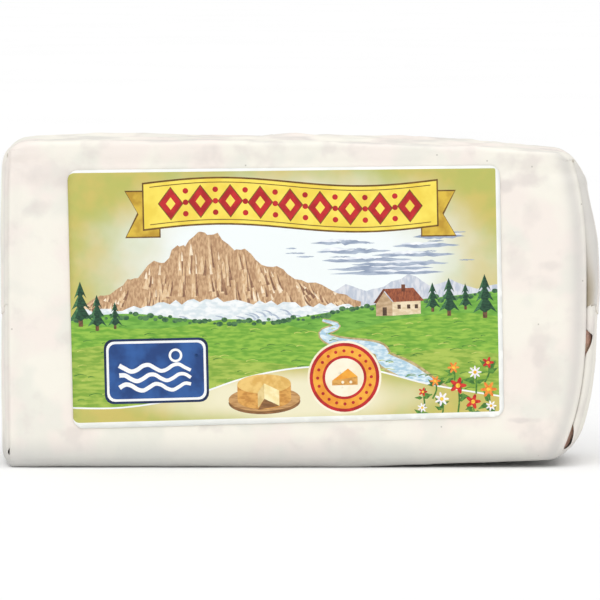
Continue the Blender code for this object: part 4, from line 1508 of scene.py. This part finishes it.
# Inks of the print: light and dark tone as seen, size of the brush marks in mm, and how the marks
# are drawn together across and upwards where they aren't round
INKS = {
    "stock": ((249, 250, 247), (240, 242, 238), 9.0),
    "white": ((252, 252, 250), (240, 243, 246), 5.0),
    "cream": ((252, 244, 222), (244, 232, 200), 5.0),
    "cloud_slate": ((176, 188, 206), (144, 158, 182), 4.0, 1, 4),
    "cloud_white": ((248, 250, 252), (226, 232, 240), 4.0, 1, 3),
    "far_rock": ((222, 224, 230), (190, 198, 212), 2.6, 2.5, 0.8),
    "rock_pale": ((250, 236, 212), (238, 216, 184), 1.6, 2.4, 0.9),
    "rock_light": ((236, 208, 170), (216, 178, 134), 1.6, 2.4, 0.9),
    "rock_mid": ((212, 176, 136), (178, 138, 102), 1.5, 2.4, 0.9),
    "rock_deep": ((164, 124, 94), (128, 92, 70), 1.4, 2.4, 0.9),
    "scree": ((244, 247, 248), (216, 227, 232), 2.4, 1, 2),
    "scree_shade": ((186, 198, 214), (164, 176, 196), 1.6, 1, 2),
    "woods": ((86, 132, 80), (44, 88, 58), 1.3),
    "grass_far": ((128, 186, 74), (96, 158, 56), 3.4, 0.7, 3),
    "grass_mid": ((150, 194, 72), (108, 166, 52), 3.0, 0.7, 3),
    "grass_near": ((172, 196, 84), (128, 168, 58), 3.2, 0.7, 3),
    "grass_dark": ((96, 148, 56), (70, 120, 44), 1.5, 1, 2),
    "grass_light": ((202, 212, 112), (176, 192, 86), 1.5, 1, 2),
    "board": ((206, 160, 104), (176, 128, 76), 1.6, 0.5, 3),
    "board_edge": ((150, 106, 62), (120, 82, 46), 1.6, 0.5, 3),
    "bank": ((206, 184, 138), (168, 150, 98), 1.6, 1, 1.5),
    "water": ((226, 240, 246), (166, 202, 222), 1.8, 0.8, 2),
    "pine_dark": ((40, 84, 58), (22, 58, 40), 1.0, 1, 2),
    "pine_light": ((78, 130, 84), (48, 98, 62), 1.0, 1, 2),
    "bark": ((124, 88, 60), (90, 62, 42), 1.0, 2, 1),
    "wall": ((240, 222, 190), (218, 196, 158), 2.0, 1, 2),
    "wall_shade": ((206, 178, 142), (180, 150, 114), 2.0, 1, 2),
    "roof": ((170, 96, 62), (130, 68, 46), 1.2, 3, 1),
    "roof_edge": ((116, 66, 44), (92, 50, 34), 1.2),
    "shutter": ((96, 72, 54), (72, 52, 38), 1.0),
    "wheel_side": ((226, 170, 88), (196, 136, 62), 2.0, 1, 2),
    "wheel_top": ((240, 202, 122), (222, 176, 92), 2.4),
    "paste": ((253, 240, 190), (244, 224, 160), 2.0),
    "paste_shade": ((232, 208, 146), (214, 186, 122), 2.0),
    "ribbon_yellow": ((250, 228, 96), (240, 212, 78), 7.0),
    "ribbon_fold": ((222, 188, 66), (188, 148, 44), 5.0),
    "brown_line": ((122, 88, 30), (98, 68, 22), 2.5),
    "red": ((200, 36, 40), (172, 24, 30), 3.5),
    "orange": ((246, 178, 62), (236, 150, 44), 3.5),
    "plaque_blue": ((44, 92, 160), (24, 62, 122), 9.0),
    "plaque_dark": ((22, 44, 88), (16, 34, 70), 6.0),
    "petal_red": ((220, 54, 40), (182, 30, 32), 1.2),
    "petal_white": ((252, 250, 250), (232, 226, 236), 1.2),
    "petal_orange": ((248, 160, 62), (232, 116, 40), 1.2),
    "eye": ((250, 212, 70), (226, 168, 40), 0.8),
    "leaf": ((96, 150, 58), (58, 108, 44), 1.2),
}


def coated(ink, label):
    """The printed stock's own finish: lightly coated paper with a faint tooth."""
    ink.bumped(ink.patches(0.0012, 0.2, 0.8, 3.0), 0.12, 0.00008)
    return ink.finished(Roughness=label.roughness, Specular_IOR_Level=0.4)


def ink_material(name, label):
    """One printed ink, in two tones with marks like a brush's."""
    light, dark, size, *pull = INKS[name]
    across, up = pull or (1, 1)
    ink = Finish("ink_" + name, linear(*light))
    ink.mottle(linear(*dark), 1, size * MM, 0.36, 0.64, 3.0, stretch=(across, 1, up))
    return coated(ink, label)


# The ground's glows: middle x and z, half width and height
GLOWS = ((-0.0010, 0.0690, 0.0600, 0.0270), (-0.0030, 0.0240, 0.0430, 0.0085))


def ground_material(label):
    """The print's olive-gold ground, which pales to a bright sky behind the mountains."""
    ink = Finish("ink_ground", label.gold)
    ink.mottle(label.olive, 1, 0.012, 0.35, 0.65, 3.0)
    drift = ink.ramp(ink.patches(0.017, 0.0, 1.0, 3.0), 0.0, 1.0, -0.10, 0.10)
    for (x, z, half_wide, half_high), colour in zip(GLOWS, (label.glow, label.low_glow)):
        distance = ink.distance_in((x, 0.0, z), (half_wide, 0.0, half_high))
        away = ink.math("ADD", distance, drift)
        ink.tone = ink.mixed(ink.ramp(away, 0.55, 1.35), colour, ink.tone)
    return coated(ink, label)


def floor_material(stage):
    """A matt, pale studio floor with a faint unevenness."""
    floor = Finish("studio_floor", stage.floor_colour)
    floor.mottle([0.985 * channel for channel in stage.floor_colour], 1, 0.35, 0.3, 0.7)
    return floor.finished(Roughness=0.9)


# Settings that a user would change


def tint(name, description, colour):
    """A colour setting."""
    return bpy.props.FloatVectorProperty(
        name=name, description=description, default=colour, min=0.0, max=1.0, size=3, subtype="COLOR"
    )


def number(name, description, default, **more):
    """A number setting, never below zero."""
    return bpy.props.FloatProperty(name=name, description=description, default=default, min=0.0, **more)


def measure(name, description, size):
    """A length setting in metres."""
    return number(name, description, size, precision=5, unit="LENGTH")


class PaperSettings(bpy.types.PropertyGroup):
    """The wrapping paper."""

    thickness: measure("Thickness", "Thickness of the sheet as it is shown", 0.00024)
    crumple_height: measure("Crumple height", "Height of the soft dents all over the sheet", 0.00016)
    wrinkle_height: measure("Wrinkle height", "Height of the long wrinkles on the top side", 0.00030)
    cream: tint("Cream", "Tone of the dry paper", linear(244, 240, 229))
    blush: tint("Blush", "Warmer tone over the rind", linear(243, 234, 226))
    grey_green: tint("Grey green", "Cooler tone of the patches", linear(233, 232, 222))
    damp: tint("Damp", "Tone of the damp patches", linear(222, 214, 208))
    # Painted shade: grey that stands in for the shade of the flaps, the lips' edges and the top side's
    # wrinkles
    painted_shade: tint("Dull", "Greyer tone of the loose paper by the lips", linear(208, 205, 201))
    # Olive: rind stain with painted shade by the right lip, and painted shade in the two pits
    olive: tint("Olive", "Tone of the paper soaked by the rind", linear(160, 146, 120))
    speck: tint("Specks", "Tone of the few small specks", linear(120, 112, 100))
    # Foot: painted shade along the foot
    foot: tint("Foot", "Duller tone along the foot", linear(190, 190, 187))


class RindSettings(bpy.types.PropertyGroup):
    """The cheese's washed rind."""

    pit_depth: measure("Pit depth", "Depth of the rind's wrinkles and pits", 0.00022)
    brown: tint("Brown", "Orange-brown ground tone", linear(218, 178, 148))
    pink: tint("Pink", "Pinkish tone of the washed patches", linear(222, 178, 166))
    bloom: tint("Bloom", "Pale bloom", linear(222, 202, 180))
    mould: tint("Mould", "Grey-brown mould in the hollows", linear(152, 134, 110))


class LabelSettings(bpy.types.PropertyGroup):
    """The printed label."""

    thickness: measure("Thickness", "Thickness of the label", 0.00014)
    gap: measure("Gap", "Space between label and paper", 0.00022)
    gold: tint("Gold", "Golden tone of the ground", linear(206, 190, 104))
    olive: tint("Olive", "Greener tone of the ground", linear(186, 188, 98))
    glow: tint("Glow", "Bright middle of the ground", linear(242, 248, 248))
    low_glow: tint("Low glow", "Pale part of the ground below the meadow", linear(240, 234, 202))
    roughness: number("Roughness", "Roughness of the coated stock", 0.42, max=1.0)


class StageSettings(bpy.types.PropertyGroup):
    """The studio floor, light and camera."""

    floor_colour: tint("Floor", "Tone of the floor", (0.97, 0.97, 0.97))
    floor_size: measure("Floor size", "Width of the floor", 60.0)
    surround: number("Surround", "Strength of the white surround", 0.55)
    key: number("Key light", "Strength of the soft light from the front", 0.475)
    top: number("Top light", "Strength of the broad light from above", 1.44)
    distance: measure("Distance", "From the camera to the labelled face", 1.6)
    rise: number("Rise", "How far the camera looks down", math.radians(4.2), subtype="ANGLE")
    width_seen: measure("Width seen", "Width of the picture at the labelled face", 0.201)


# The makers


class OBJECT_OT_cheese_block(bpy.types.Operator):
    """Make the block of cheese with its washed rind"""

    bl_idname = "object.cheese_block"
    bl_label = "Cheese Block"

    def execute(self, context):
        rind = context.scene.rind_settings
        block = make_piece("cheese_block", cheese_mesh(rind), [rind_material(rind)])
        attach(block, "root")
        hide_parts("cheese")
        return {"FINISHED"}


class OBJECT_OT_wrapping_sheet(bpy.types.Operator):
    """Make the folded sheet of wrapping paper"""

    bl_idname = "object.wrapping_sheet"
    bl_label = "Wrapping Sheet"

    def execute(self, context):
        paper = context.scene.paper_settings
        sheet = make_piece("wrapping_sheet", wrapping_mesh(paper), [paper_material(paper)])
        outer_share = SOLID_PAPER / paper.thickness - 1
        thicken(sheet, paper.thickness, outer_share)
        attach(sheet, "root")
        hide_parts("paper_wrap")
        return {"FINISHED"}


class OBJECT_OT_printed_label(bpy.types.Operator):
    """Make the printed label on the large face"""

    bl_idname = "object.printed_label"
    bl_label = "Printed Label"

    def execute(self, context):
        label = context.scene.label_settings
        mesh, inks = label_mesh(label, context.scene.paper_settings)
        materials = [ink_material(ink, label) if ink in INKS else ground_material(label) for ink in inks]
        piece = make_piece("label_sheet", mesh, materials)
        thicken(piece, label.thickness, 0.0)
        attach(piece, "root")
        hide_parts("label")
        return {"FINISHED"}


KEY_FROM, KEY_SPREAD = Vector((-0.30, -0.95, 0.65)), math.radians(40)
TOP_FROM, TOP_SPREAD = Vector((0.05, -0.30, 1.0)), math.radians(80)
PICTURE_MIDDLE = Vector((0.00134, -0.0265, 0.0568))


def facing(direction):
    """The turn of a light or camera that looks along a direction."""
    return direction.to_track_quat("-Z", "Y").to_euler()


def add_light(name, power, place, spread):
    """A broad soft light, as even over the whole floor as a sky."""
    lamp = bpy.data.lights.new(name, "SUN")
    lamp.energy = power
    lamp.angle = spread
    thing = placed(name, lamp)
    thing.location = place
    thing.rotation_euler = facing(-place)


def add_camera(stage):
    """A long lens from just above, straight on to the labelled face."""
    lens = bpy.data.cameras.new("camera")
    lens.lens = lens.sensor_width * stage.distance / stage.width_seen
    lens.clip_start = 0.05
    thing = placed("camera", lens)
    away = stage.distance * Vector((0, -math.cos(stage.rise), math.sin(stage.rise)))
    thing.location = PICTURE_MIDDLE + SHIFT + away
    thing.rotation_euler = facing(-away)
    bpy.context.scene.camera = thing


def add_floor(stage):
    """The pale floor."""
    mesh = bmesh.new()
    bmesh.ops.create_grid(mesh, x_segments=8, y_segments=8, size=stage.floor_size / 2)
    data = bpy.data.meshes.new("floor")
    mesh.to_mesh(data)
    mesh.free()
    data.materials.append(floor_material(stage))
    floor = placed("floor", data)


def add_surround(stage):
    """An even white surround."""
    world = bpy.data.worlds.new("surround")
    world.use_nodes = True
    backdrop = world.node_tree.nodes["Background"]
    backdrop.inputs["Color"].default_value = (1.0, 1.0, 1.0, 1.0)
    backdrop.inputs["Strength"].default_value = stage.surround
    bpy.context.scene.world = world


class SCENE_OT_cheese_stage(bpy.types.Operator):
    """Make the pale floor, the soft light and the camera"""

    bl_idname = "scene.cheese_stage"
    bl_label = "Studio Stage"

    def execute(self, context):
        stage = context.scene.stage_settings
        add_floor(stage)
        add_surround(stage)
        add_light("key_light", stage.key, KEY_FROM, KEY_SPREAD)
        add_light("top_light", stage.top, TOP_FROM, TOP_SPREAD)
        add_camera(stage)
        context.scene.view_settings.view_transform = "Standard"
        return {"FINISHED"}


class VIEW3D_PT_wrapped_cheese(bpy.types.Panel):
    """Sidebar list of the makers and their settings"""

    bl_idname = "VIEW3D_PT_wrapped_cheese"
    bl_label = "Wrapped Cheese"
    bl_space_type = "VIEW_3D"
    bl_region_type = "UI"
    bl_category = "Wrapped Cheese"

    def draw(self, context):
        for maker, settings in MAKERS:
            box = self.layout.box()
            box.operator(maker.bl_idname)
            group = getattr(context.scene, settings)
            for name in group.__annotations__:
                box.prop(group, name)


SETTINGS = {
    "paper_settings": PaperSettings,
    "rind_settings": RindSettings,
    "label_settings": LabelSettings,
    "stage_settings": StageSettings,
}
MAKERS = (
    (OBJECT_OT_cheese_block, "rind_settings"),
    (OBJECT_OT_wrapping_sheet, "paper_settings"),
    (OBJECT_OT_printed_label, "label_settings"),
    (SCENE_OT_cheese_stage, "stage_settings"),
)


def register():
    """Make the settings, the makers and the panel known to Blender."""
    for group in SETTINGS.values():
        bpy.utils.register_class(group)
    for maker, _ in MAKERS:
        bpy.utils.register_class(maker)
    bpy.utils.register_class(VIEW3D_PT_wrapped_cheese)
    for name, group in SETTINGS.items():
        setattr(bpy.types.Scene, name, bpy.props.PointerProperty(type=group))


def unregister():
    """Take the settings, the makers and the panel away again."""
    for name in SETTINGS:
        delattr(bpy.types.Scene, name)
    bpy.utils.unregister_class(VIEW3D_PT_wrapped_cheese)
    for maker, _ in reversed(MAKERS):
        bpy.utils.unregister_class(maker)
    for group in reversed(SETTINGS.values()):
        bpy.utils.unregister_class(group)


def main():
    """Run every maker in turn."""
    register()
    bpy.ops.object.cheese_block()
    bpy.ops.object.wrapping_sheet()
    bpy.ops.object.printed_label()
    bpy.ops.scene.cheese_stage()


if __name__ == "__main__":
    main()
